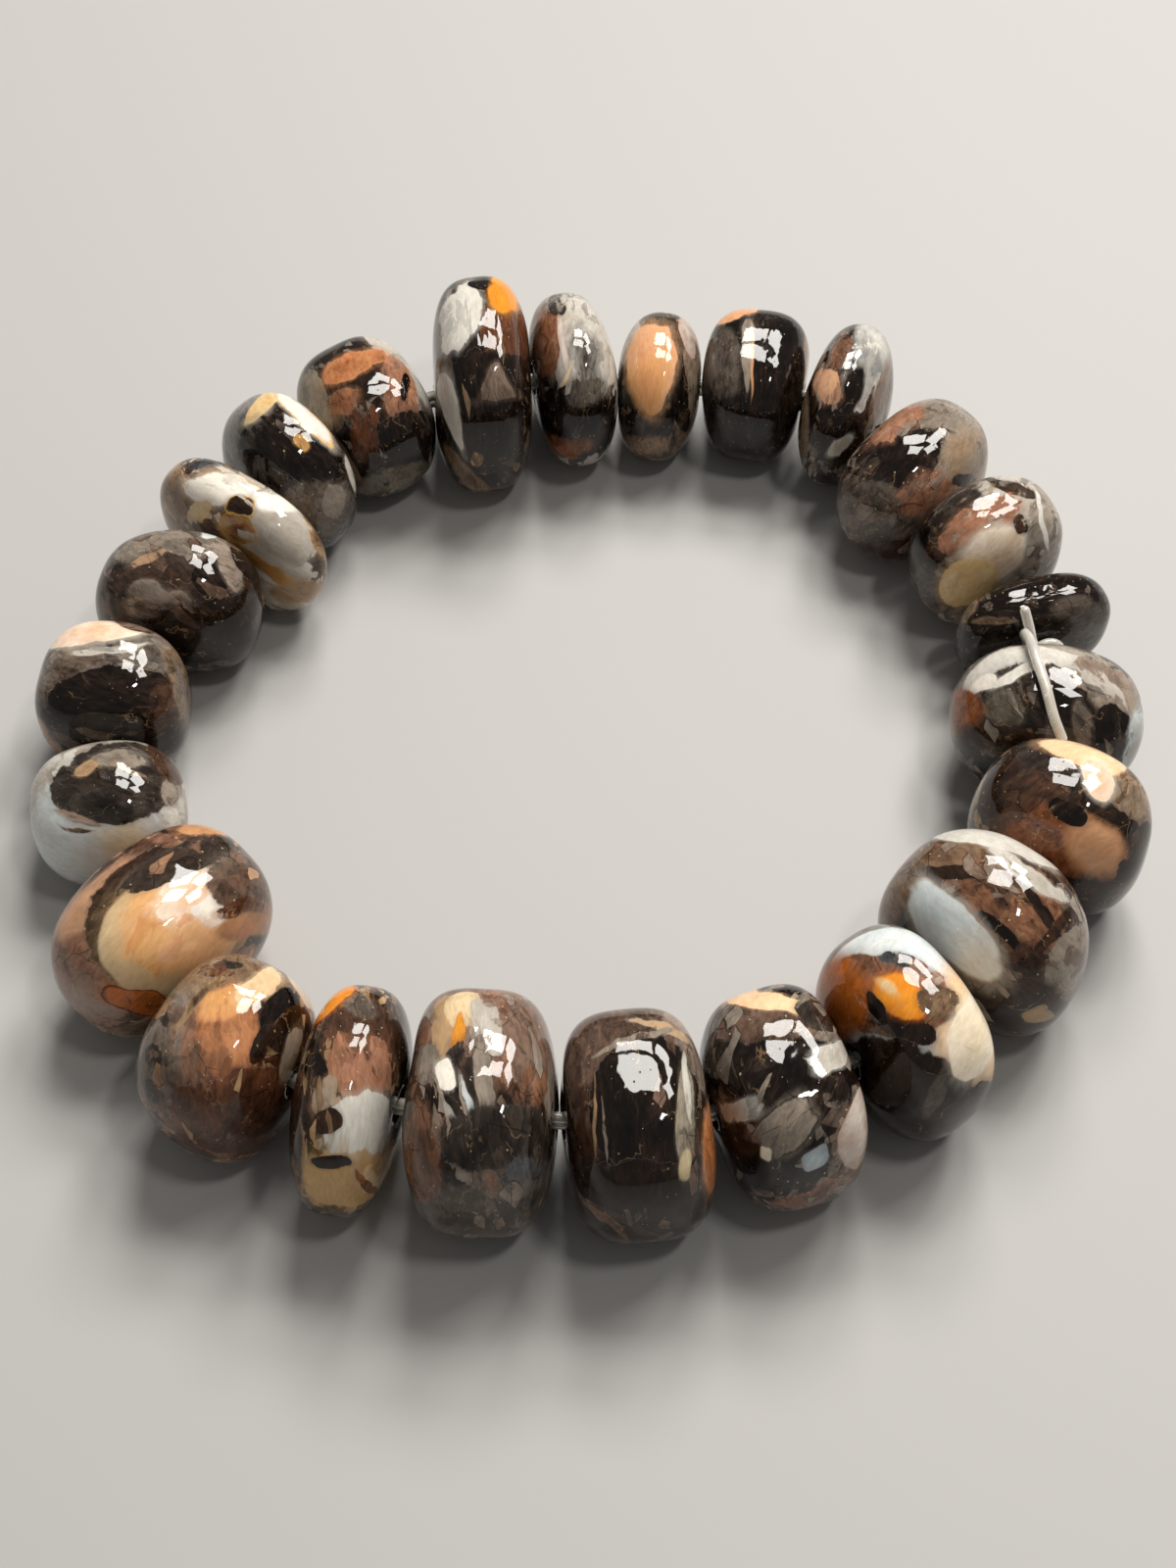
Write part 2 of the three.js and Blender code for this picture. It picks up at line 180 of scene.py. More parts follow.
PALETTE = (
    ("coal", "#090605", "opaque black of the dark bands"),
    ("soot", "#16100c", "black with a little brown in it"),
    ("bark", "#24170f", "darkest brown"),
    ("umber", "#382419", "deep brown"),
    ("walnut", "#553c2e", "middle brown"),
    ("chestnut", "#6b3f28", "reddish brown"),
    ("rust", "#8c4f28", "orange brown"),
    ("clay", "#8a5f45", "pinkish brown"),
    ("rose", "#9c6f58", "dull pink"),
    ("mauve", "#7c6658", "greyish pink"),
    ("salmon", "#c98a5e", "pinkish orange of the carnelian"),
    ("peach", "#e2b188", "light pinkish orange"),
    ("apricot", "#dba463", "yellowish orange"),
    ("orange", "#d9731a", "bright carnelian"),
    ("amber", "#ec9f34", "glowing yellow orange"),
    ("honey", "#cfa35c", "deep yellow"),
    ("sand", "#b8966e", "light brown"),
    ("tan", "#8f755a", "yellowish brown"),
    ("cream", "#e8d2a8", "pale yellow"),
    ("ivory", "#f0e7d8", "warm white"),
    ("chalk", "#dad6cc", "cool white"),
    ("milk", "#c4beb4", "cloudy grey white of the chalcedony"),
    ("smoke", "#9a8e80", "light grey"),
    ("fog", "#6a5f54", "middle grey"),
    ("slate", "#3f3832", "dark grey"),
    ("steel", "#54585b", "bluish grey"),
    ("ice", "#cfdde3", "bluish white"),
    ("moss", "#66604d", "greenish grey"),
)
STONE_SLOTS = {"dark": "stone_dark", "brown": "stone_brown", "peach": "stone_peach", "pale": "stone_pale"}


def linear(code):
    """The linear colour of a hex code: a channel c becomes ((c + 0.055) / 1.055) to the 2.4, or c / 12.92 when dark."""
    channels = np.array([int(code[i:i + 2], 16) for i in (1, 3, 5)]) / 255
    return tuple(np.where(channels > 0.04045, ((channels + 0.055) / 1.055) ** 2.4, channels / 12.92).tolist())


def colour_property(name, code, description):
    """A colour that the user can change in the panel."""
    return FloatVectorProperty(name=name.capitalize(), description=description, default=linear(code),
                               size=3, min=0, max=1, subtype="COLOR")


class BraceletColours(bpy.types.PropertyGroup):
    """The colours that the stones are painted with."""
    __annotations__ = {name: colour_property(name, code, description) for name, code, description in PALETTE}


class BraceletSizes(bpy.types.PropertyGroup):
    """Sizes of the holes and the elastic, and how finely the surfaces are divided."""
    bore_radius: FloatProperty(
        name="Hole radius", description="Radius of the drilled holes", default=0.0011, min=0.0005, unit="LENGTH")
    mouth_flare: FloatProperty(
        name="Mouth flare", description="Width of the hole's rounded mouth, as a multiple of the hole", default=1.2)
    mouth_sink: FloatProperty(
        name="Mouth depth", description="How far the hole's edge lies inside the stone", default=0.00012,
        unit="LENGTH")
    fullness: FloatProperty(
        name="Fullness", description="How much longer along the string a stone is than its facets", default=0.00013,
        unit="LENGTH")
    strand_diameter: FloatProperty(
        name="Strand diameter", description="Thickness of one strand of elastic", default=0.0008, unit="LENGTH")
    around: IntProperty(name="Around", description="Divisions around a stone", default=120, min=16)
    rings: IntProperty(name="Rings", description="Divisions from mouth to mouth", default=80, min=8)


# ---------------------------------------------------------------- surfaces


def unit(v):
    """Each vector divided by its length."""
    return v / np.linalg.norm(v, axis=-1, keepdims=True)


def middle(stone):
    """Where the string's line crosses the stone: reach times (cosine, sine) of its bearing, at its rise."""
    bearing = math.radians(stone["bearing"])
    return np.array([stone["reach"] * math.cos(bearing), stone["reach"] * math.sin(bearing), stone["rise"]])


def stone_axes(stone):
    """Rows are the stone's own axes: along the string, outward and up, turned about the vertical."""
    outward = math.radians(stone["bearing"] + stone["turn"])
    return np.array([[-math.sin(outward), math.cos(outward), 0],
                     [math.cos(outward), math.sin(outward), 0],
                     [0, 0, 1]])


def lumps(d, number):
    """Three slow sine waves over the directions d, different for each stone."""
    x, y, z = np.moveaxis(d, -1, 0)
    return (np.sin(2.3 * x + 3.1 * y + 1.7 * number)
            + np.sin(2.9 * y - 2.2 * z + 2.6 * number)
            + np.sin(3.0 * z + 2.4 * x + 0.9 * number))


def stone_surface(stone, d):
    """Where rays in the unit directions d, in the stone's own axes, leave the stone.

    The radius is a superellipsoid's. Across is the sum over the outward and the upward axis of |d / half size| to the
    power square. The radius is (across to the power ends / square, plus |d / half size| along the string to the power
    ends) to the power -1 / ends, times one plus the lumps and the finer ripple. Each hollow takes off its depth times
    exp(-(1 - cosine of the angle to it) / spread squared). Last, the form narrows upwards by its taper and outwards
    by its wedge.
    """
    half = np.array([stone["along"], stone["deep"], stone["tall"]]) / 2
    share = np.abs(d / half)
    across = np.sum(share[..., 1:] ** stone["square"], axis=-1)
    radius = (across ** (stone["ends"] / stone["square"]) + share[..., 0] ** stone["ends"]) ** (-1 / stone["ends"])
    radius = radius * (1 + LUMPINESS * lumps(d, stone["number"]) + RIPPLE * lumps(RIPPLE_PITCH * d, stone["number"]))
    for hollow in HOLLOWS:
        if hollow["stone"] == stone["number"]:
            nearness = d @ unit(np.array(hollow["direction"]))
            radius = radius * (1 - hollow["depth"] * np.exp(-(1 - nearness) / hollow["spread"] ** 2))
    p = d * radius[..., None]
    narrow_up = 1 - stone["taper"] * p[..., 2] / half[2]
    narrow_out = 1 - stone["wedge"] * p[..., 1] / half[1]
    return np.stack([p[..., 0] * narrow_up * narrow_out, p[..., 1] * narrow_up, p[..., 2] * narrow_out], axis=-1)


def surface_towards(stone, d):
    """stone_surface for directions and answers in the bracelet's axes, measured from the stone's middle."""
    axes = stone_axes(stone)
    return stone_surface(stone, unit(d) @ axes.T) @ axes


def meeting_after(number):
    """The bend of the string in the gap after a stone: midway between the places where the line of middles leaves
    that stone and enters the next."""
    stone, following = STONES[number], STONES[number % COUNT + 1]
    line = middle(following) - middle(stone)
    onward = unit(line)
    leaves = np.linalg.norm(surface_towards(stone, onward))
    enters = np.linalg.norm(line) - np.linalg.norm(surface_towards(following, -onward))
    return middle(stone) + onward * (leaves + enters) / 2


MEETINGS = {number: meeting_after(number) for number in STONES}


def meeting_before(number):
    return MEETINGS[(number - 2) % COUNT + 1]


def string_direction(number):
    """The direction of the string, and of the hole, through a stone."""
    return unit(MEETINGS[number] - meeting_before(number))


def bead_surface(stone, sizes):
    """Rows of points over a drilled stone, from the rim of its hole behind to the rim in front.

    A row's angle from the string runs evenly from one mouth to the other, a column's angle runs evenly round the
    string, and each point is where that direction leaves the stone. The rows lean towards the mouths by how far the
    hole runs off the stone's middle, and the first and last rows are the hole's own circles. The surface is spread
    along the string by the fullness, and whatever would lie below the table is laid flat on it.
    """
    number = stone["number"]
    bore, sink = sizes.bore_radius / METRES, sizes.mouth_sink / METRES
    string = string_direction(number)
    side = unit(np.cross(string, UP))
    top = np.cross(side, string)
    off_centre = meeting_before(number) - middle(stone)
    off_centre = off_centre - string * (off_centre @ string)

    def mouth_distance(way):
        length = np.linalg.norm(surface_towards(stone, string * way))
        return abs(surface_towards(stone, string * way * length + off_centre) @ string)

    front, back = mouth_distance(1), mouth_distance(-1)
    first = math.atan(bore / front) * sizes.mouth_flare
    last = math.pi - math.atan(bore / back) * sizes.mouth_flare
    angle = np.linspace(last, first, sizes.rings)[:, None, None]
    turn = np.linspace(0, 2 * math.pi, sizes.around, endpoint=False)[None, :, None]
    spoke = np.cos(turn) * side + np.sin(turn) * top
    lean = np.abs(np.cos(angle)) / np.where(np.cos(angle) > 0, front, back)
    outside = surface_towards(stone, np.cos(angle) * string + lean * off_centre + np.sin(angle) * spoke)
    rim_behind = spoke * bore + string * (sink - back) + off_centre
    rim_ahead = spoke * bore + string * (front - sink) + off_centre
    points = np.concatenate([rim_behind, outside, rim_ahead])
    stretch = sizes.fullness / METRES / (front + back)
    points = points + string * (points @ string)[..., None] * stretch + middle(stone)
    points[..., 2] = np.maximum(points[..., 2], 0)
    return points


def ring_shift():
    """How far the frame's ring lies from this file's, in millimetres: the mean difference of the stones' boxes."""
    sizes = bpy.context.scene.bracelet_sizes
    shifts = []
    for number, stone in STONES.items():
        points = bead_surface(stone, sizes).reshape(-1, 3)
        low, high = (np.array(corner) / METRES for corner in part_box(f"bead_{number:02d}"))
        shifts.append((low + high) / 2 - (points.min(axis=0) + points.max(axis=0)) / 2)
    return np.mean(shifts, axis=0) * (1, 1, 0)


def grid_mesh(name, points, closed):
    """A mesh of quads between the rows of points, each row running round to its own start. Closed joins the last row
    to the first, as through a stone's hole; otherwise both end rows are filled."""
    rows, around = points.shape[:2]
    index = np.arange(rows * around).reshape(rows, around)
    ahead = np.roll(index, -1, axis=0) if closed else index[1:]
    here = index if closed else index[:-1]
    quads = np.stack([here, ahead, np.roll(ahead, -1, axis=1), np.roll(here, -1, axis=1)], axis=-1)
    faces = quads.reshape(-1, 4).tolist()
    if not closed:
        faces += [index[0].tolist(), index[-1][::-1].tolist()]
    mesh = bpy.data.meshes.new(name)
    mesh.from_pydata((points.reshape(-1, 3) * METRES).tolist(), [], faces)
    mesh.shade_smooth()
    return mesh


def place(context, name, mesh, material, slot, *nodes):
    """Puts a finished mesh into the scene as a piece on the body, in place of the named nodes."""
    piece = bpy.data.objects.new(name, mesh)
    mesh.materials.append(material)
    context.scene.collection.objects.link(piece)
    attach(piece, BODY)
    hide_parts(*nodes)


# ---------------------------------------------------------------- shader nodes

ORIGIN = (0.0, 0.0, 0.0)
HALF = (0.5, 0.5, 0.5)
BLACK = (0.0, 0.0, 0.0, 1.0)
WHITE = (1.0, 1.0, 1.0, 1.0)
INPUT_KINDS = {1: "NodeSocketFloat", 3: "NodeSocketVector", 4: "NodeSocketColor"}       # by how many numbers they have
OUTPUT_KINDS = {"VALUE": "NodeSocketFloat", "VECTOR": "NodeSocketVector", "RGBA": "NodeSocketColor"}


class Wire:
    """An output of a shader node. Sums, products and powers of wires add the nodes that work them out."""

    def __init__(self, socket):
        self.socket = socket
        self.tree = socket.id_data

    def __add__(self, other):
        return maths("ADD", self, other)

    def __sub__(self, other):
        return maths("SUBTRACT", self, other)

    def __rsub__(self, other):
        return maths("SUBTRACT", other, self)

    def __mul__(self, other):
        return maths("MULTIPLY", self, other)

    def __pow__(self, other):
        return maths("POWER", self, other)

    def __abs__(self):
        return maths("ABSOLUTE", self)

    def step(self, start, end):
        """0 before start, 1 after end, and a smooth rise between."""
        return add_node("MapRange", {"Value": self, "From Min": start, "From Max": end},
                        interpolation_type="SMOOTHSTEP")[0]


def connect(node, sources):
    """Sets a node's inputs, by name or number, to values or links them to wires."""
    for key, value in sources.items():
        if isinstance(value, Wire):
            value.tree.links.new(value.socket, node.inputs[key])
        else:
            node.inputs[key].default_value = value


def tree_of(values):
    """The tree that the wires among some values are in."""
    return next(value.tree for value in values if isinstance(value, Wire))


def add_node(kind, sources, **settings):
    """Adds a shader node beside the nodes that feed it, and gives its outputs."""
    made = tree_of(sources.values()).nodes.new("ShaderNode" + kind)
    for name, value in settings.items():
        setattr(made, name, value)
    connect(made, sources)
    return [Wire(socket) for socket in made.outputs]


def maths(operation, *values, clamp=False):
    return add_node("Math", dict(enumerate(values)), operation=operation, use_clamp=clamp)[0]


def times_plus(factor, other, rest, clamp=False):
    """factor x other + rest."""
    return maths("MULTIPLY_ADD", factor, other, rest, clamp=clamp)


def mixed(factor, under, over):
    """Over laid on under by the factor."""
    return add_node("Mix", {0: factor, 6: under, 7: over}, data_type="RGBA")[2]


def scaled(vector, factor):
    return add_node("VectorMath", {0: vector, "Scale": factor}, operation="SCALE")[0]


def moved(vector, other):
    return add_node("VectorMath", {0: vector, 1: other}, operation="ADD")[0]


def shifted(vector, seed, stride):
    """The vector moved by the seed times the stride, so that no two stones share a pattern."""
    return moved(vector, scaled(stride, seed))


def charted(vector, middle_at, rotation, size):
    """The vector as seen from a box's middle, along its turned sides and in its half sizes."""
    return add_node("Mapping", {"Vector": vector, "Location": middle_at, "Rotation": rotation, "Scale": size},
                    vector_type="TEXTURE")[0]


def darkness(colour):
    """1 where a colour is dark, falling to 0 where it is light."""
    return add_node("RGBToBW", {0: colour})[0].step(0.3, 0.08)


def noise(vector, scale, detail=3.0, roughness=0.5, distortion=0.0):
    """A soft noise: as one value and as a colour."""
    return add_node("TexNoise", {"Vector": vector, "Scale": scale, "Detail": detail, "Roughness": roughness,
                                 "Distortion": distortion})


def cells(vector, scale):
    """A field of cells: the distance to each cell's seed and three chances that are the cell's own."""
    distance, colour = add_node("TexVoronoi", {"Vector": vector, "Scale": scale}, feature="F1")[:2]
    return distance, add_node("SeparateColor", {0: colour})


def seams(vector, scale):
    """The distance to the nearest side of the same cells."""
    return add_node("TexVoronoi", {"Vector": vector, "Scale": scale}, feature="DISTANCE_TO_EDGE")[0]


def new_group(name, inputs):
    """A shader node group and its inputs as wires. Each is a number, a vector of 3 or a colour of 4, as its default."""
    tree = bpy.data.node_groups.new(name, "ShaderNodeTree")
    for label, default in inputs.items():
        kind = INPUT_KINDS[np.size(default)]
        tree.interface.new_socket(name=label, in_out="INPUT", socket_type=kind).default_value = default
    given = tree.nodes.new("NodeGroupInput").outputs
    return {label: Wire(given[label]) for label in inputs}


def finish_group(outputs):
    """Gives a shader node group its outputs, each of its wire's kind."""
    tree = tree_of(outputs.values())
    for label, wire in outputs.items():
        kind = OUTPUT_KINDS[wire.socket.type]
        tree.interface.new_socket(name=label, in_out="OUTPUT", socket_type=kind)
    connect(tree.nodes.new("NodeGroupOutput"), outputs)


def use_group(name, sources):
    """Places a node group beside the nodes that feed it, with its own values, and gives its outputs by name."""
    made = tree_of(sources.values()).nodes.new("ShaderNodeGroup")
    made.node_tree = bpy.data.node_groups[name]
    connect(made, sources)
    return {socket.name: Wire(socket) for socket in made.outputs}


SEED_STRIDE = (3.7, 5.3, 2.9)


def make_currents():
    """The flow that bends every band in a stone, and the unevenness, cloud, streaks and grain that its parts share.
    Face is the flow folded at the stone's middle: what lies on the near face comes out on the far one too."""
    given = new_group("agate currents", {"Vector": ORIGIN, "Seed": 0.0, "Lean": 0.0, "Swirl": 0.3, "Tremor": 0.08})
    seed = given["Seed"]
    place_in_rock = shifted(given["Vector"], seed, SEED_STRIDE)
    flow = given["Vector"]
    for scale, amount in ((1.2, given["Swirl"]), (4.5, given["Tremor"])):
        bend = add_node("VectorMath", {0: noise(place_in_rock, scale, 1.5)[1], 1: HALF}, operation="SUBTRACT")[0]
        flow = moved(flow, scaled(bend, amount))
    right, up, towards = add_node("SeparateXYZ", {0: flow})
    face = add_node("CombineXYZ", {0: right, 1: up, 2: abs(towards)})[0]
    lean = add_node("CombineXYZ", {2: given["Lean"]})[0]
    drawn_out = shifted(charted(flow, ORIGIN, lean, (0.36, 1.1, 0.6)), seed, SEED_STRIDE)
    fibres = noise(drawn_out, 1.4, 6, 0.62, 0.7)[0]
    rough = noise(place_in_rock, 4.5, 4, 0.55)[0]
    _, chances = cells(shifted(flow, seed, SEED_STRIDE), 6.5)
    finish_group({
        "Flow": flow, "Face": face, "Drawn Out": drawn_out, "Edge": fibres + rough - 1.0,
        "Cloud": noise(place_in_rock, 1.9, 6, 0.62, 0.6)[0].step(0.32, 0.68), "Streak": fibres.step(0.36, 0.64),
        "Grain": chances[0], "Speckle": noise(drawn_out, 7.0, 5, 0.65, 0.4)[0].step(0.3, 0.7)})


def make_body():
    """A stone's own mottle: a dark ground, feathery areas of a middle colour and crisp fragments of a light colour."""
    given = new_group("agate body", {
        "Flow": ORIGIN, "Drawn Out": ORIGIN, "Edge": 0.0, "Cloud": 0.5, "Streak": 0.5, "Seed": 0.0, "Dark": BLACK,
        "Middle": BLACK, "Light": WHITE, "Middle Share": 0.5, "Light Share": 0.2})
    streak, middling = given["Streak"], given["Middle"]
    broad = noise(shifted(given["Flow"], given["Seed"], (1.9, 4.1, 6.7)), 2.3, 6, 0.62, 0.7)[0]
    low = 0.66 - given["Middle Share"] * 0.32
    middle_mask = broad.step(low, low + 0.07) * times_plus(streak, 0.75, 0.25)
    ground = mixed(given["Cloud"] * 0.12, given["Dark"], middling)
    other = noise(moved(given["Drawn Out"], (7.3, 2.1, 5.5)), 0.8, 5, 0.58, 0.5)[0] + given["Edge"] * 0.15
    high = 0.68 - given["Light Share"] * 0.32
    light = mixed(streak * 0.7, given["Light"], middling)
    finish_group({"Colour": mixed(other.step(high, high + 0.02), mixed(middle_mask, ground, middling), light)})


HALO = 0.3              # how strongly a patch shows through the stone around it
BANDS = 26.0            # how closely a patch's fine bands follow each other


def make_patch():
    """One patch of colour in a stone: an ellipsoid, turned, tapered and bent in the chart of the stone's face, with
    rounder or squarer corners, an edge that is ragged or soft, holes where what is under it comes through, fine bands
    that follow its edge and, if wanted, a rim of another colour."""
    given = new_group("agate patch", {
        "Under": BLACK, "Face": ORIGIN, "Edge": 0.0, "Cloud": 0.5, "Streak": 0.5, "Centre": (0.0, 0.0, 1.0),
        "Size": (0.5, 0.5, 0.9), "Turn": 0.0, "Taper": 0.0, "Bend": 0.0, "Corners": 2.0, "Softness": 0.04,
        "Raggedness": 0.3, "Colour": WHITE, "Shade": WHITE, "Rim": WHITE, "Rim Width": 0.001})
    cloud, streak, corners = given["Cloud"], given["Streak"], given["Corners"]
    ragged, soft, shade = given["Raggedness"], given["Softness"], given["Shade"]
    turn = add_node("CombineXYZ", {2: given["Turn"]})[0]
    x, y, z = add_node("SeparateXYZ", {0: charted(given["Face"], given["Centre"], turn, given["Size"])})
    wide = x * times_plus(y, given["Taper"], 1.0)
    high = y + x * x * given["Bend"]
    total = abs(wide) ** corners + abs(high) ** corners + abs(z) ** corners
    reach = times_plus(given["Edge"], ragged, total ** maths("DIVIDE", 1.0, corners))
    worn = times_plus(cloud, 0.5, streak).step(0.98, 1.16)
    mask = reach.step(soft + 1.0, 1.0 - soft) * (1.0 - worn * ragged.step(0.2, 0.9))
    under = mixed(reach.step(1.35, 0.95) * HALO, given["Under"], shade)
    outward = reach * reach
    inside = mixed(times_plus(cloud, 0.45, outward * 0.25, clamp=True), given["Colour"], shade)
    wave = maths("SINE", times_plus(reach, BANDS, cloud * 5.0))
    inside = mixed(times_plus(streak, 0.26, times_plus(wave, 0.09, 0.09) * outward, clamp=True), inside, shade)
    inside = mixed(abs(reach - 1.0).step(given["Rim Width"], 0.0), inside, given["Rim"])
    finish_group({"Colour": mixed(mask, under, inside)})


def make_shards():
    """Angular fragments that were broken and healed in the rock's dark parts: some of the cells of a cracked field,
    with straight crisp sides and a dark seam round each."""
    given = new_group("agate shards", {
        "Under": BLACK, "Flow": ORIGIN, "Seed": 0.0, "Cloud": 0.5, "Scale": 4.0, "Share": 0.15, "Colour": WHITE,
        "Shade": WHITE, "Seam": BLACK})
    place_in_rock = shifted(given["Flow"], given["Seed"], (2.3, 3.1, 4.9))
    chance, tint, _ = cells(place_in_rock, given["Scale"])[1]
    chosen = chance.step(given["Share"], given["Share"] - 0.01) * darkness(given["Under"])
    whole = seams(place_in_rock, given["Scale"]).step(0.01, 0.05)
    shard = mixed(whole, given["Seam"], mixed((tint + given["Cloud"]) * 0.5, given["Colour"], given["Shade"]))
    finish_group({"Colour": mixed(chosen, given["Under"], shard)})


def make_threads():
    """What lies over the rest of a pattern: streaks of mist and lighter and darker fragments in its dark parts, a fine
    streakiness all over, dark healed cracks, hairlines and painted glints, small dots of painted reflected light."""
    given = new_group("agate threads", {
        "Under": BLACK, "Flow": ORIGIN, "Seed": 0.0, "Streak": 0.5, "Grain": 0.5, "Speckle": 0.5, "Mist": WHITE,
        "Mistiness": 0.2, "Crack": BLACK, "Cracks": 0.5, "Vein": WHITE, "Veins": 0.5, "Painted Glint": WHITE, "Painted Glints": 0.5})
    place_in_rock = shifted(given["Flow"], given["Seed"], (5.1, 1.3, 3.9))
    dark = darkness(given["Under"])
    misty = given["Streak"] * given["Speckle"] * dark
    colour = mixed(misty * given["Mistiness"], given["Under"], given["Mist"])
    facets = (given["Grain"] - 0.5) * dark
    fine = (given["Speckle"] - 0.5) * times_plus(dark, 0.55, 0.2)
    colour = scaled(colour, facets * 0.55 + fine + 1.0)
    cracked = noise(place_in_rock, 2.2, 3)[0].step(0.48, 0.6) * dark * given["Cracks"]
    colour = mixed(seams(place_in_rock, 2.6).step(0.022, 0.004) * cracked, colour, given["Crack"])
    vein = abs(noise(place_in_rock, 2.0, 4, 0.5, 0.4)[0] - 0.5).step(0.012, 0.0)
    veined = noise(place_in_rock, 3.1, 1)[0].step(0.52, 0.66) * given["Veins"]
    colour = mixed(vein * veined, colour, given["Vein"])
    # Painted glints: small bright dots of painted reflected light, only in the dark parts.
    distance, chances = cells(place_in_rock, 13.0)
    chosen = chances[1].step(0.3, 0.28) * dark * given["Painted Glints"]
    finish_group({"Colour": mixed(distance.step(0.17, 0.08) * chosen, colour, given["Painted Glint"])})


def make_polish():
    """A tumbled polish: a slight unevenness in the gloss, shallow dimples and rare pits."""
    given = new_group("tumbled polish", {"Vector": ORIGIN, "Seed": 0.0, "Gloss": 0.025, "Wear": 0.05})
    place_in_rock = shifted(given["Vector"], given["Seed"], (4.3, 2.7, 6.1))
    worn = noise(place_in_rock, 3.5, 4, 0.6)[0].step(0.45, 0.75)
    distance, chances = cells(place_in_rock, 15.0)
    pit = distance.step(0.22, 0.08) * chances[0].step(0.16, 0.14)
    finish_group({"Roughness": times_plus(worn, given["Wear"], given["Gloss"]),
                  "Height": times_plus(pit, -0.8, noise(place_in_rock, 6, 1)[0])})


GROUP_MAKERS = (make_currents, make_body, make_patch, make_shards, make_threads, make_polish)

# ---------------------------------------------------------------- each stone's pattern

# BODIES: a stone's ground, from dark through middle to light, the share of the middle and of the light colour, then its
# angular shards: their share, their number across the stone and their colour; its veins and its painted glints (small
# bright dots of painted reflected light), from 0 to 1; and how many degrees its fibres lean anticlockwise from upright.
BODY_COLUMNS = ("dark", "middle", "light", "middle_share", "light_share", "shard_share", "shard_scale", "shard",
                "veins", "painted_glints", "lean")
BODIES = {
    1: ("coal", "bark", "tan", 0.3, 0.1, 0.03, 4.0, "tan", 0.2, 0.3, 10),
    2: ("soot", "fog", "milk", 0.7, 0.5, 0.08, 4.5, "milk", 0.3, 0.5, -20),
    3: ("soot", "slate", "tan", 0.5, 0.3, 0.04, 4.0, "tan", 0.2, 0.5, -15),
    4: ("coal", "soot", "slate", 0.3, 0.15, 0.02, 4.0, "slate", 0.1, 0.3, 0),
    5: ("coal", "umber", "smoke", 0.5, 0.4, 0.06, 4.5, "smoke", 0.3, 0.4, -20),
    6: ("soot", "walnut", "smoke", 0.6, 0.45, 0.08, 4.0, "smoke", 0.3, 0.6, -35),
    7: ("fog", "smoke", "milk", 0.7, 0.5, 0.03, 3.0, "milk", 0.4, 0.1, -40),
    8: ("coal", "bark", "fog", 0.4, 0.05, 0.02, 4.5, "slate", 0.2, 0.5, -70),
    9: ("coal", "slate", "smoke", 0.5, 0.3, 0.06, 4.0, "fog", 0.3, 0.4, 30),
    10: ("coal", "umber", "sand", 0.5, 0.2, 0.0, 4.5, "tan", 0.4, 0.4, -30),
    11: ("bark", "walnut", "smoke", 0.6, 0.35, 0.1, 4.0, "mauve", 0.4, 0.5, 50),
    12: ("coal", "bark", "fog", 0.4, 0.2, 0.03, 3.5, "slate", 0.3, 0.2, -20),
    13: ("coal", "slate", "smoke", 0.45, 0.3, 0.16, 4.0, "mauve", 0.3, 0.7, -20),
    14: ("coal", "umber", "mauve", 0.5, 0.3, 0.05, 4.5, "mauve", 0.3, 0.3, 10),
    15: ("coal", "walnut", "smoke", 0.45, 0.35, 0.1, 4.5, "mauve", 0.3, 0.5, 5),
    16: ("soot", "walnut", "sand", 0.5, 0.3, 0.02, 4.5, "rose", 0.3, 0.4, -10),
    17: ("bark", "chestnut", "sand", 0.5, 0.25, 0.05, 4.0, "clay", 0.3, 0.3, -20),
    18: ("bark", "rose", "sand", 0.6, 0.4, 0.02, 4.0, "peach", 0.3, 0.5, -45),
    19: ("smoke", "milk", "chalk", 0.7, 0.4, 0.02, 3.0, "chalk", 0.2, 0.2, 60),
    20: ("coal", "umber", "fog", 0.4, 0.3, 0.03, 4.0, "fog", 0.4, 0.2, 70),
    21: ("coal", "umber", "mauve", 0.45, 0.3, 0.06, 5.0, "fog", 0.4, 0.5, 40),
    22: ("umber", "tan", "chalk", 0.5, 0.5, 0.05, 4.0, "milk", 0.3, 0.3, 50),
    23: ("coal", "soot", "fog", 0.4, 0.2, 0.06, 5.0, "slate", 0.3, 0.7, 45),
    24: ("coal", "bark", "smoke", 0.5, 0.3, 0.05, 4.0, "mauve", 0.3, 0.3, 10),
}
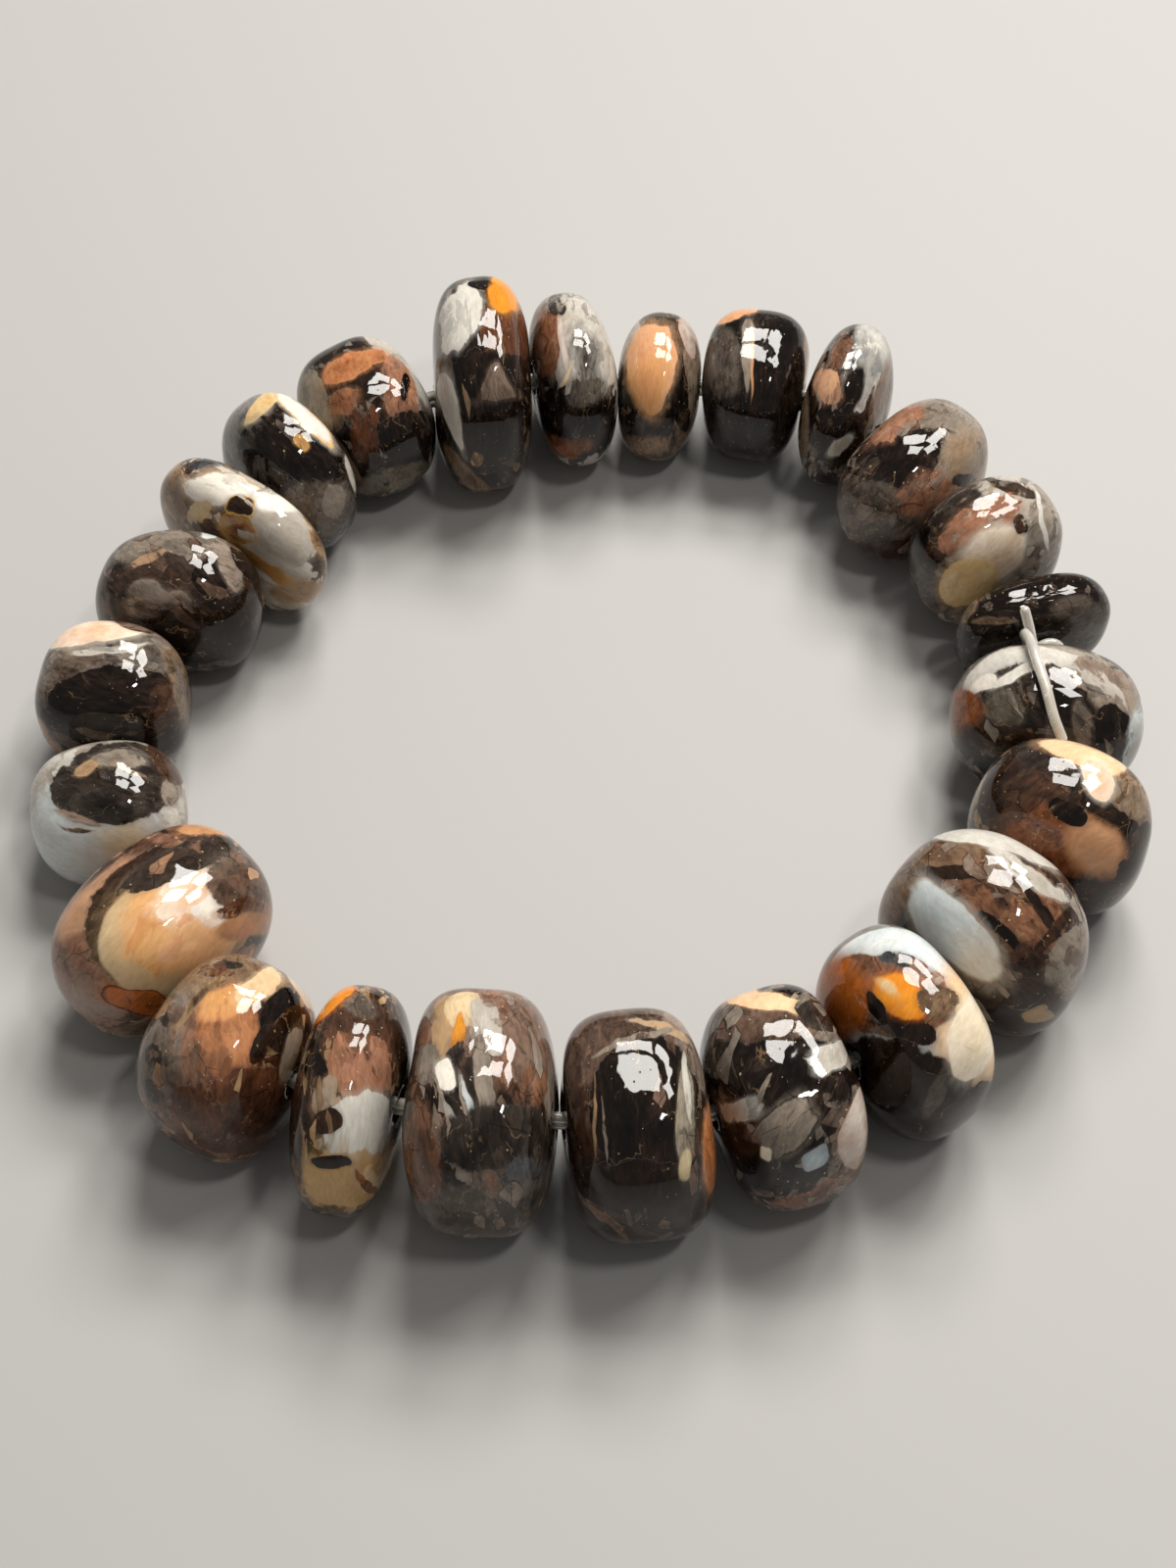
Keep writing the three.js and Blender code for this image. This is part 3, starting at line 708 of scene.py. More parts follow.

# PATCHES: what is laid over the ground, a line each, from the first to the last. Each line has a colour, its shade, the
# patch's middle (right and up), its half sizes (wide and high), its turn in degrees anticlockwise and how ragged its
# edge is. What follows is only given where it isn't plain: taper narrows it upwards, bend droops its ends, corners over
# 2 square it, soft is how soft its edge is, and rim and rim_width are the colour and width of its outline. Apart from
# turn and corners, numbers are in hundredths, and places and sizes are hundredths of the stone's half size in the chart
# of its face.
# Many stones have a soft dark patch over their lowest part: partly the stone's own dark colour, partly painted shade
# where the underside turns away from the light.
PATCHES = {
    1: """
    chestnut umber 50 48 50 26 0 40 corners=3
    milk chalk -38 62 42 25 18 50 corners=2.8
    orange amber 52 80 34 20 0 15 soft=12
    soot coal 2 88 24 6 0 50
    coal soot -5 -30 85 60 0 30 soft=10
    fog mauve 30 0 26 15 0 40 taper=60 corners=2.6
    milk chalk -62 -26 13 40 26 20 taper=-40 corners=2.6
    umber tan -40 -86 50 8 -24 30 bend=-80 soft=20
    tan sand -20 -68 12 6 10 80
    slate fog 82 -62 6 26 -18 30 soft=30
    """,
    2: """
    smoke chalk 10 55 100 50 -8 90 soft=8
    slate milk 35 26 50 30 -35 100 soft=10
    clay chestnut -66 44 38 40 10 40 corners=2.6
    chalk rose -22 44 7 34 20 90
    slate soot -34 84 20 12 -30 80
    coal soot 0 -50 110 50 0 60
    cream smoke -16 7 22 4 34 50
    fog slate 30 -10 50 14 0 100 soft=10
    rust umber -20 -80 62 11 -6 30 bend=-120 soft=20
    """,
    3: """
    fog tan 78 -10 34 95 -6 60 soft=12
    milk rose 62 72 13 34 28 40
    smoke milk -78 62 32 36 -20 50
    coal soot 42 12 24 82 20 40
    coal soot -20 -52 62 22 20 50 soft=10
    salmon peach -20 28 58 64 6 20 taper=-40
    salmon apricot -26 0 36 34 10 10 taper=-40 soft=50
    tan walnut -20 -80 60 14 0 80 soft=30
    """,
    # Stone 4's soft soot patch low on the left is partly dark stone and partly painted shade.
    4: """
    slate fog -62 28 30 44 12 80 soft=40
    salmon peach -50 92 62 8 14 30 bend=70
    coal soot 40 10 60 90 0 30 corners=2.6 soft=6
    smoke fog -17 44 10 50 2 15 taper=-60
    salmon sand -9 36 2.5 50 4 10
    soot coal -50 -60 50 30 0 80 soft=40
    clay tan 100 15 10 75 2 30 soft=20
    """,
    # Stone 5's chalk patch at the top right and its milk patch with the chalk ring are partly pale stone and partly a
    # painted reflection of the window.
    5: """
    chalk steel 50 70 50 34 -30 40 soft=20
    walnut clay -25 66 20 24 -30 80
    milk steel 28 38 40 42 -24 80 rim=chalk rim_width=25
    soot coal 12 20 20 36 -20 30 soft=20
    peach rose -42 20 30 22 -12 50
    coal bark 0 -42 70 30 0 30 soft=20
    smoke chalk 0 -45 30 8 26 60
    tan fog -86 -30 9 50 6 30 soft=30
    walnut tan 75 20 14 40 -14 70 soft=30
    """,
    6: """
    fog smoke 10 82 70 20 0 70 bend=40
    tan smoke 72 30 40 45 0 60 soft=15
    coal soot -25 20 60 32 25 50
    rose clay -30 62 42 16 38 60
    fog slate -50 -42 62 34 0 90 soft=12
    clay rose 20 -12 40 24 20 70
    umber bark 0 -84 70 14 0 30 soft=30
    bark soot 72 10 20 7 10 80
    """,
    7: """
    coal bark -86 2 46 72 -12 50
    slate fog -62 -68 44 36 20 60 soft=15
    bark slate 20 84 34 7 -14 50
    bark slate -42 58 30 26 30 50 soft=12
    rose clay -10 34 60 24 42 80
    sand ivory 14 -6 44 34 38 30 soft=12
    cream honey -14 -46 38 30 20 35 corners=2.5
    bark walnut 38 40 10 13 20 90
    chalk milk 66 50 3 40 28 30
    """,
    8: """
    slate fog 62 30 36 30 -20 30 soft=40
    coal bark 0 -10 70 30 6 30 soft=30
    fog tan -88 8 8 24 -24 60
    umber tan -55 2 30 6 12 100
    """,
    9: """
    chalk milk -10 30 102 72 0 15 soft=3
    coal slate 2 10 86 62 0 35
    milk chalk -38 50 34 6 44 40 bend=60
    ivory milk -70 28 17 9 44 20
    mauve smoke 54 60 46 26 -28 80
    slate moss -44 4 20 24 -20 80
    rust chestnut -88 -14 30 30 30 30 soft=8
    coal bark 8 30 40 22 0 60 soft=12
    slate fog 36 8 10 28 10 80
    coal soot 70 0 20 42 10 40
    smoke ice 94 10 10 60 0 80 soft=12
    bark umber -30 -40 50 20 0 30 soft=30
    """,
    10: """
    fog tan 60 42 50 30 -30 100 soft=10
    soot slate -30 62 50 36 0 40
    walnut umber -36 10 50 42 0 60 soft=20
    soot bark 50 28 44 16 -30 90
    cream peach 10 90 48 14 -8 30 bend=50 soft=6
    peach ivory 30 64 17 24 28 10 soft=4
    chestnut rust 0 -20 56 38 0 30 soft=15
    peach salmon 44 -12 36 26 -30 10 soft=35
    coal soot 6 18 23 12 -14 12 corners=2.6
    soot umber 88 -10 16 40 -8 80
    bark umber 25 -80 90 32 10 30 soft=10
    soot umber -70 30 14 40 -12 80
    smoke tan -94 20 5 50 -8 30 soft=30
    """,
    11: """
    walnut tan -50 72 50 16 12 50
    milk chalk -15 93 75 10 0 30 bend=140 soft=4
    clay umber 20 30 55 46 -20 80
    soot bark 46 36 5 36 44 80
    coal soot 20 2 30 6 -34 90 bend=80
    bark soot -42 52 50 7 16 80 bend=100
    smoke chalk 30 66 42 7 -24 90
    smoke fog 84 -10 18 45 -14 70
    umber bark 62 10 5 46 -24 90 soft=20
    bark umber 30 -74 95 40 0 40 soft=10
    ice chalk -28 -6 68 25 -40 15 corners=2.4 rim=smoke rim_width=12
    tan walnut -88 20 16 40 -14 60 soft=20
    sand moss 66 -68 12 5 40 30 corners=4
    """,
    12: """
    ice chalk -10 40 105 66 0 10 soft=3
    cream peach 68 20 44 66 10 10 soft=25
    clay walnut -28 30 72 38 -8 12
    orange rust -80 20 40 40 -20 10 soft=20
    soot steel -14 63 26 7 -8 70
    mauve rose 12 56 22 10 -20 70
    coal bark 0 2 34 13 -10 30
    coal bark -20 -62 115 56 0 25
    amber orange -12 30 30 19 -20 30 soft=10
    cream amber -28 38 12 5 -30 30 soft=50
    tan umber 25 34 20 20 0 100
    coal soot -36 18 6 20 34 30 soft=5
    cream ivory 70 14 25 48 -8 15
    coal soot 90 -46 20 20 20 40
    slate fog 42 -48 7 24 -14 30 soft=30
    """,
    13: """
    umber mauve -36 62 50 20 0 100
    cream peach -26 87 52 8 0 30 bend=120
    soot slate 30 78 30 12 -16 50
    coal soot 10 26 86 30 0 60 soft=10
    smoke chalk 46 40 20 11 20 50 corners=4
    salmon clay 84 60 11 36 24 30 soft=10
    fog smoke 4 -26 36 22 40 50 corners=3 rim=coal rim_width=12
    smoke chalk -42 -12 22 10 20 70 corners=4
    chalk rose 88 -16 20 36 -8 25 taper=30
    coal soot -30 -60 40 22 0 60 soft=10
    ice steel 46 -47 14 9 24 30 corners=4
    walnut rose 45 -80 42 8 24 30 bend=-80 soft=20
    ivory cream -10 -46 6 6 0 90 corners=4
    """,
    14: """
    umber mauve -30 72 100 46 12 90
    mauve smoke 60 70 40 40 -30 80
    umber walnut -80 -30 40 70 0 80 soft=20
    coal soot 8 20 68 58 0 25
    sand smoke 26 80 40 4 -14 60 bend=80
    smoke fog -10 70 50 3 14 80 bend=100
    bark coal 0 -66 90 40 0 30 soft=30
    smoke moss 58 4 12 46 4 40
    sand umber -50 8 2 36 6 80
    smoke umber -38 -4 1.4 30 10 80
    chalk moss 58 32 4 30 14 50
    cream moss 60 -32 8 13 -10 80 soft=15
    rust salmon 93 -12 13 42 -4 30 soft=10
    walnut tan -42 -76 40 4 -30 60 bend=-60
    umber walnut -10 -80 50 3 -16 60 bend=-60
    """,
    # Stone 15's dark bark band along its bottom is partly dark stone and partly painted shade.
    15: """
    walnut rose 10 74 100 46 0 80
    mauve walnut 60 52 24 42 0 50
    clay walnut 62 16 16 20 0 90
    sand tan -36 66 20 26 -10 50
    cream sand -12 80 24 14 10 50
    milk smoke 14 66 20 20 -20 60 corners=3
    amber rust -20 58 8 22 -14 120
    coal slate -18 30 24 26 0 60
    smoke fog 8 24 10 36 6 50
    smoke slate -62 40 17 18 0 50
    ivory chalk -40 30 12 13 12 40 corners=4
    ice smoke -14 6 5 26 16 70
    milk slate -36 -6 6 20 34 80
    coal slate 20 -20 80 24 0 50 soft=10
    walnut clay -75 -30 22 40 8 90
    slate steel 45 -52 34 16 0 80
    clay fog 0 -58 14 15 0 80 corners=4
    bark fog 0 -84 90 26 0 90 soft=20
    """,
    16: """
    umber walnut 30 62 62 26 -10 30 soft=10
    slate fog 30 83 20 10 -20 40
    amber orange -12 88 38 13 24 20 soft=6
    rose clay 16 28 46 26 0 80 corners=3
    soot coal -44 30 17 14 0 50
    smoke tan -36 10 24 12 24 50
    sand honey 10 -62 95 38 0 40
    cream peach 30 -62 34 14 26 80
    rust tan 6 -74 5 20 44 60
    chalk milk 2 -22 50 24 0 50 corners=3
    umber bark -42 -10 20 11 0 20
    coal bark -40 -48 26 7 -10 20
    bark umber -92 10 16 80 0 60 soft=20
    soot umber 90 30 22 50 10 50 soft=20
    """,
    17: """
    tan walnut 0 74 100 36 0 100
    umber smoke -62 10 42 66 -18 100
    clay mauve -26 12 20 50 -16 50
    salmon chestnut 6 16 32 50 -14 50 soft=8
    apricot salmon 14 50 30 16 10 50 soft=20
    umber sand -10 62 42 3.5 30 80 soft=20
    soot slate 26 88 10 5 -16 90
    peach cream 45 58 26 13 28 50
    coal soot 60 24 19 30 -26 15 soft=4
    bark soot 40 6 20 10 30 60
    soot slate -54 50 7 11 0 90
    soot slate -74 16 9 12 0 90
    soot slate -80 -24 8 24 10 90
    umber chestnut 20 -60 100 50 -10 35 soft=6
    smoke tan 66 -8 10 28 -28 50
    milk sand 90 50 10 26 26 40
    """,
    18: """
    rose mauve -72 -10 50 80 -20 50
    peach rose -50 48 50 16 36 30 soft=15
    smoke rose -74 -52 26 26 0 80
    soot umber 14 14 78 78 0 25
    cream sand 10 -6 64 62 0 8
    peach apricot 22 4 56 52 0 30 soft=10
    salmon apricot 0 -10 26 36 -10 100
    peach ivory 30 26 34 20 30 90 corners=3
    salmon peach 20 -12 30 16 30 90 corners=3
    ivory chalk 46 8 16 14 24 60 corners=4
    bark slate 40 66 66 17 16 60
    sand salmon 66 88 36 7 -14 30 bend=80 soft=10
    walnut fog 80 30 30 34 0 50 soft=6
    umber chestnut 68 5 22 10 0 60
    salmon tan 76 -14 32 13 0 30 soft=15
    rust orange -34 -60 34 13 -38 40 rim=umber rim_width=20
    umber tan -10 -90 60 12 0 30 soft=20
    """,
    19: """
    chalk ice -40 -30 95 85 0 10 soft=20
    cream chalk 10 -40 30 34 0 10 soft=50
    soot slate 22 42 92 56 -4 35
    coal slate 4 10 55 24 -12 40
    fog smoke 22 68 30 12 -12 80
    tan sand -16 66 14 10 10 100
    smoke tan 30 52 26 3 -30 60
    smoke fog 80 12 14 20 0 70
    umber walnut 85 50 20 36 20 50
    rose smoke -40 4 34 6 -34 60
    umber tan -46 -12 22 3 -28 60 bend=-100 soft=20
    """,
    20: """
    umber smoke -40 54 50 30 24 90
    slate smoke 60 50 42 36 -24 90
    smoke chalk 10 62 50 4 -8 80
    coal soot -5 0 82 44 -6 30
    umber walnut 60 -20 20 26 0 80 soft=20
    umber fog -60 -50 40 5 -46 50 soft=15
    umber tan -20 -70 40 4 -30 60 soft=15
    rust tan -92 -30 8 50 14 30 soft=20
    slate tan 86 0 14 50 0 80
    peach ivory -5 90 74 17 -4 10 bend=50 soft=4
    walnut umber 50 80 30 5 -30 40
    """,
    21: """
    fog smoke 10 76 80 22 0 80
    umber slate -20 30 60 40 0 80
    sand mauve -32 64 26 5 22 90
    mauve smoke -22 2 36 20 -14 80
    fog smoke -36 24 16 14 0 40
    coal soot 40 28 26 24 20 40
    mauve smoke 64 34 12 34 8 60
    bark soot 84 40 14 30 10 50
    ice milk 50 80 11 6 -14 20
    soot bark 30 -40 90 40 0 50 soft=12
    fog slate -90 0 12 50 -10 60 soft=20
    """,
    22: """
    walnut sand -86 50 24 46 -20 80
    milk rose 60 56 40 16 -36 50 soft=10
    ivory chalk -24 58 50 21 -12 50 rim=sand rim_width=12
    soot steel -10 92 46 7 -6 50 bend=60
    cream sand -52 30 24 12 30 50
    umber walnut -50 -2 34 24 -30 80
    smoke milk 48 -6 42 46 24 40 soft=5
    ivory chalk 44 30 34 10 -18 30 soft=20
    chestnut honey -6 8 26 16 -40 50
    soot umber 2 34 20 11 -8 80 rim=honey rim_width=20
    rust honey 22 -42 60 7 -42 30 bend=-70 soft=10
    walnut sand 92 -4 12 50 8 80
    tan sand 60 -76 40 16 0 50 soft=15
    """,
    23: """
    steel smoke -55 72 50 30 42 30 soft=15
    honey cream -28 84 36 10 34 40
    coal soot 0 20 90 50 -8 40
    chalk ivory 34 66 56 13 -42 30 bend=30 rim=honey rim_width=25
    clay honey 28 36 14 8 -30 100
    fog slate 30 -48 62 36 0 70 soft=12
    smoke fog 62 -42 16 20 -20 60 corners=3
    milk smoke 92 -12 6 24 8 60
    """,
    24: """
    milk smoke 50 82 62 20 -34 50
    chalk mauve 84 30 22 60 12 60
    rose clay 48 28 24 48 8 50
    coal soot 56 32 5 16 -12 90
    soot bark 0 36 36 20 8 40
    chestnut clay -30 20 26 16 20 60
    chestnut umber -6 -20 20 30 -10 70 corners=3
    smoke moss -78 20 24 50 10 40
    coal soot 60 -28 50 34 0 50
    rust salmon -12 66 50 15 18 30 bend=50
    fog tan -40 -50 62 9 -52 40
    fog moss 20 -80 60 14 10 30 soft=30
    """,
}
SWIRL = 0.24            # how far the currents bend a pattern, as a share of the stone's half size
TREMOR = 0.07           # the same, for the small unevenness of every edge
PATCH_DEPTH = 0.9       # half size of a patch from front to back
SOFT = 3.5              # softness of a patch's edge, in hundredths, unless its line says otherwise
RIM_WIDTH = 0.1         # width of its outline, likewise: too thin to be seen
CRACKS = 0.8            # how dark the healed cracks are
MIST = 0.2              # how strong the brown mist in the dark parts is
CRUMB_SCALE = 9.0       # small fragments under the patches: how many across the stone, and what share of it
CRUMB_SHARE = 0.15
CHIP_SCALE = 3.0        # slivers over the patches: how many to a fibre's length, and their share of the shards' share
CHIP_SHARE = 0.9
AGATE_GLOSS = {"IOR": 1.54, "Specular IOR Level": 0.35}
POLISH_RELIEF = (0.12, 0.0002)      # strength and distance of the bump
ELASTIC_COLOURS = ((0.82, 0.77, 0.66, 1.0), (0.92, 0.88, 0.79, 1.0))
ELASTIC_RELIEF = (0.1, 0.0001)

VIEWPOINT = AIM + CAMERA_DISTANCE * np.array(
    [0, -math.cos(math.radians(CAMERA_ELEVATION)), math.sin(math.radians(CAMERA_ELEVATION))])


def face_chart(points, viewpoint):
    """The chart of the face that a stone turns to someone who looks at the bracelet: its middle, its turn as three
    angles and its half sizes, in which right, up and towards the eye each run from -1 to 1 over the stone."""
    towards = unit(viewpoint - points.mean(axis=0))
    right = unit(np.cross(UP, towards))
    axes = np.array([right, np.cross(towards, right), towards])
    spread = points @ axes.T
    low, high = spread.min(axis=0), spread.max(axis=0)
    centre = (low + high) / 2 @ axes
    return centre.tolist(), tuple(Matrix(axes.T.tolist()).to_euler()), ((high - low) / 2).tolist()


def colour_of(name):
    return (*getattr(bpy.context.scene.bracelet_colours, name), 1.0)


def patch_sources(line):
    """A line of PATCHES as the patch group's inputs. The patch's middle lies on the face of the unit ball."""
    words = line.split()
    right, up, wide, high = (float(word) / 100 for word in words[2:6])
    turn, ragged = math.radians(float(words[6])), float(words[7]) / 100
    extra = dict(word.split("=") for word in words[8:])

    def share(name, plain):
        return float(extra.get(name, plain)) / 100

    sources = {
        "Colour": colour_of(words[0]), "Shade": colour_of(words[1]),
        "Centre": (right, up, math.sqrt(max(0.0, 1 - right ** 2 - up ** 2))), "Size": (wide, high, PATCH_DEPTH),
        "Turn": turn, "Taper": share("taper", 0), "Bend": share("bend", 0), "Corners": float(extra.get("corners", 2)),
        "Softness": share("soft", SOFT), "Raggedness": ragged, "Rim Width": share("rim_width", RIM_WIDTH)}
    if "rim" in extra:
        sources["Rim"] = colour_of(extra["rim"])
    return sources


def new_material(name):
    """An empty material and the object's own coordinates in it."""
    material = bpy.data.materials.new(name)
    material.use_nodes = True
    nodes = material.node_tree.nodes
    nodes.clear()
    return material, Wire(nodes.new("ShaderNodeTexCoord").outputs["Object"])


def finish_material(sources):
    """Ends a material in one shader with the sources as its inputs."""
    shader = add_node("BsdfPrincipled", sources)[0]
    add_node("OutputMaterial", {"Surface": shader}, is_active_output=True)


def relief(height, strength, distance):
    return add_node("Bump", {"Strength": strength, "Distance": distance, "Height": height})[0]


def agate_material(number, points, viewpoint):
    """Polished agate: the stone's ground, its shards and patches, then its veins and painted glints, under a clear
    gloss.
    """
    material, place_in_stone = new_material(f"agate_{number:02d}")
    chart = charted(place_in_stone, *face_chart(points, viewpoint))
    body = dict(zip(BODY_COLUMNS, BODIES[number]))
    light, middling, dark = (colour_of(body[name]) for name in ("light", "middle", "dark"))
    currents = use_group("agate currents", {"Vector": chart, "Seed": number, "Lean": math.radians(body["lean"]),
                                            "Swirl": SWIRL, "Tremor": TREMOR})

    def with_group(name, shared, sources):
        """A group that takes some of the currents' outputs and has this stone's seed."""
        return use_group(name, {**{label: currents[label] for label in shared}, **sources})["Colour"]

    def with_shards(under, flow, scale, share, shard):
        return with_group("agate shards", ("Cloud",), {
            "Under": under, "Flow": flow, "Seed": number, "Scale": scale, "Share": share, "Colour": shard,
            "Shade": middling, "Seam": dark})

    colour = with_group("agate body", ("Flow", "Drawn Out", "Edge", "Cloud", "Streak"), {
        "Seed": number, "Dark": dark, "Middle": middling, "Light": light, "Middle Share": body["middle_share"],
        "Light Share": body["light_share"]})
    flow = currents["Flow"]
    colour = with_shards(colour, flow, body["shard_scale"], body["shard_share"], colour_of(body["shard"]))
    colour = with_shards(colour, flow, CRUMB_SCALE, CRUMB_SHARE, light)
    for line in PATCHES[number].strip().splitlines():
        colour = with_group("agate patch", ("Face", "Edge", "Cloud", "Streak"), {
            "Under": colour, **patch_sources(line)})
    colour = with_shards(colour, currents["Drawn Out"], CHIP_SCALE, CHIP_SHARE * body["shard_share"], light)
    # The threads lay on the painted glints: small cream dots of painted reflected light in the dark parts.
    colour = with_group("agate threads", ("Flow", "Streak", "Grain", "Speckle"), {
        "Under": colour, "Seed": number, "Mist": colour_of("walnut"), "Mistiness": MIST, "Crack": colour_of("soot"),
        "Cracks": CRACKS, "Vein": colour_of("sand"), "Veins": body["veins"], "Painted Glint": colour_of("cream"),
        "Painted Glints": body["painted_glints"]})
    polish = use_group("tumbled polish", {"Vector": chart, "Seed": number})
    finish_material({"Base Color": colour, "Roughness": polish["Roughness"],
                     "Normal": relief(polish["Height"], *POLISH_RELIEF), **AGATE_GLOSS})
    return material


def elastic_material():
    """Clear stretch cord gone a little milky, with faint streaks along it."""
    material, place_in_cord = new_material("milky_elastic")
    haze = noise(place_in_cord, 900, 3, 0.6)[0].step(0.35, 0.65)
    finish_material({
        "Base Color": mixed(haze, *ELASTIC_COLOURS), "Roughness": times_plus(haze, 0.12, 0.16),
        "Normal": relief(noise(place_in_cord, 2500, 2)[0], *ELASTIC_RELIEF), "IOR": 1.45,
        "Transmission Weight": 0.5})
    return material


# ---------------------------------------------------------------- elastic


def smooth_path(points, per_span):
    """A Catmull-Rom curve through the points, per_span samples to each span, and the last point."""
    p = np.concatenate([[2 * points[0] - points[1]], points, [2 * points[-1] - points[-2]]])
    t = np.linspace(0, 1, per_span, endpoint=False)[None, :, None]
    a, b, c, d = (p[i:i + len(points) - 1][:, None] for i in range(4))
    curve = 0.5 * (2 * b + (c - a) * t + (2 * a - 5 * b + 4 * c - d) * t ** 2 + (3 * b - a - 3 * c + d) * t ** 3)
    return np.concatenate([curve.reshape(-1, 3), points[-1:]])


def tube(path, radii, reference, sides=16, closed=False):
    """Rows of points round a path. Each row is a circle of its own radius, square to the path, that starts from the
    side that the reference direction and the path make between them."""
    ahead, behind = np.roll(path, -1, axis=0), np.roll(path, 1, axis=0)
    if not closed:
        ahead[-1], behind[0] = path[-1], path[0]
    along = unit(ahead - behind)
    side = unit(np.cross(along, reference))
    top = np.cross(side, along)
    angle = np.linspace(0, 2 * math.pi, sides, endpoint=False)[None, :, None]
    circle = np.cos(angle) * side[:, None] - np.sin(angle) * top[:, None]
    return path[:, None] + circle * np.broadcast_to(radii, len(path))[:, None, None]


def rounded_ends(path, radius, steps=6):
    """The path lengthened by a radius at its far end, and radii that close that end as half a ball."""
    lean = np.linspace(0, math.pi / 2, steps + 1)[1:]
    onward = unit(path[-1] - path[-2])
    cap = path[-1] + onward * (radius * np.sin(lean))[:, None]
    radii = np.concatenate([np.full(len(path), radius), radius * np.maximum(np.cos(lean), 0.05)])
    return np.concatenate([path, cap]), radii


def strand_paths(radius):
    """The two strands of the loop, one above the other: a closed Catmull-Rom curve through the meetings."""
    bends = np.array([MEETINGS[number] for number in STONES])
    lead = np.concatenate([bends[-2:], bends, bends[:3]])
    loop = smooth_path(lead, STRAND_STEPS)[2 * STRAND_STEPS:-2 * STRAND_STEPS - 1]
    return [loop + UP * height for height in (-radius, radius)]


def knot_path(at):
    """A trefoil: (sin t + 2 sin 2t) across, (cos t - 2 cos 2t) up and -sin 3t along the string, each times its scale.
    It rides a little above the string, where the gap between the stones is wider."""
    string = string_direction(KNOT_AFTER)
    across = unit(np.cross(string, UP))
    t = np.linspace(0, 2 * math.pi, KNOT_STEPS, endpoint=False)[:, None]
    return (at + UP * KNOT_RISE
            + across * (np.sin(t) + 2 * np.sin(2 * t)) * KNOT_SCALE[0]
            + UP * (np.cos(t) - 2 * np.cos(2 * t)) * KNOT_SCALE[1]
            - string * np.sin(3 * t) * KNOT_SCALE[2])


def long_tail_points(knot, radius):
    """From the knot over stone 9, each point held clear of the stone by the clearance."""
    stone = STONES[LONG_TAIL_OVER]
    points = [knot]
    for over, outward in LONG_TAIL:
        d = np.array([math.cos(math.radians(over)), 0, math.sin(math.radians(over))])
        crown = stone_surface(stone, d)
        p = stone_surface(stone, unit(np.array([crown[0], outward, crown[2]])))
        points.append((p + d * (radius + TAIL_CLEARANCE)) @ stone_axes(stone) + middle(stone))
    return np.array(points)


def short_tail_points(knot):
    """From the knot up against stone 8."""
    string = string_direction(KNOT_AFTER)
    outward = unit(knot * (1, 1, 0))
    rest = [knot - string * back + outward * out + UP * up for back, out, up in SHORT_TAIL]
    return np.array([knot, *rest])


# ---------------------------------------------------------------- operators


class BRACELET_OT_add_stones(bpy.types.Operator):
    """Add the drilled agate nuggets of one family"""
    bl_idname = "bracelet.add_stones"
    bl_label = "Add stones"
    bl_options = {"REGISTER", "UNDO"}

    family: EnumProperty(name="Family", description="Which stones to add", items=[
        (family, family.capitalize(), f"The {family} stones") for family in STONE_SLOTS])

    def execute(self, context):
        if "agate body" not in bpy.data.node_groups:
            for make_group in GROUP_MAKERS:
                make_group()
        shift = ring_shift()
        for number, stone in STONES.items():
            if stone["family"] != self.family:
                continue
            name = f"stone_{number:02d}"
            points = bead_surface(stone, context.scene.bracelet_sizes) + shift
            material = agate_material(number, points.reshape(-1, 3) * METRES, (VIEWPOINT + shift) * METRES)
            place(context, name, grid_mesh(name, points, closed=True), material, STONE_SLOTS[self.family],
                  f"bead_{number:02d}")
        return {"FINISHED"}


class BRACELET_OT_add_elastic(bpy.types.Operator):
    """Add the clear elastic: two strands through the stones, the knot and its two cut tails"""
    bl_idname = "bracelet.add_elastic"
    bl_label = "Add elastic"
    bl_options = {"REGISTER", "UNDO"}

    def execute(self, context):
        radius = context.scene.bracelet_sizes.strand_diameter / METRES / 2
        shift, material = ring_shift(), elastic_material()
        knot = MEETINGS[KNOT_AFTER]

        def add_tube(name, path, radii, reference, closed):
            mesh = grid_mesh(name, tube(path, radii, reference, closed=closed) + shift, closed)
            place(context, name, mesh, material, ELASTIC_SLOT, ELASTIC_NODE)

        for label, path in zip(("lower", "upper"), strand_paths(radius)):
            add_tube(f"elastic_strand_{label}", path, radius, UP, True)
        path = knot_path(knot)
        reference = path - path.mean(axis=0) + string_direction(KNOT_AFTER) * KNOT_SEAM
        add_tube("elastic_knot", path, radius * KNOT_SQUEEZE, reference, True)
        for label, points in (("long", long_tail_points(knot, radius)), ("short", short_tail_points(knot))):
            path, radii = rounded_ends(smooth_path(points, TAIL_STEPS), radius)
            add_tube(f"elastic_tail_{label}", path, radii, unit(knot * (1, 1, 0)), False)
        return {"FINISHED"}


def add_light(context, name, direction, distance, size, power):
    """A rectangular soft light that looks at the ring's middle from a direction, at a distance in metres."""
    data = bpy.data.lights.new(name, "AREA")
    data.shape = "RECTANGLE"
    data.size, data.size_y = size
    data.energy = power
    data.color = LAMP_COLOUR
    light = bpy.data.objects.new(name, data)
    z = unit(np.array(direction, dtype=float))
    x = unit(np.cross(UP, z))
    way = Matrix(np.array([x, np.cross(z, x), z]).T.tolist()).to_4x4()
    way.translation = (z * distance).tolist()
    light.matrix_world = way
    context.scene.collection.objects.link(light)


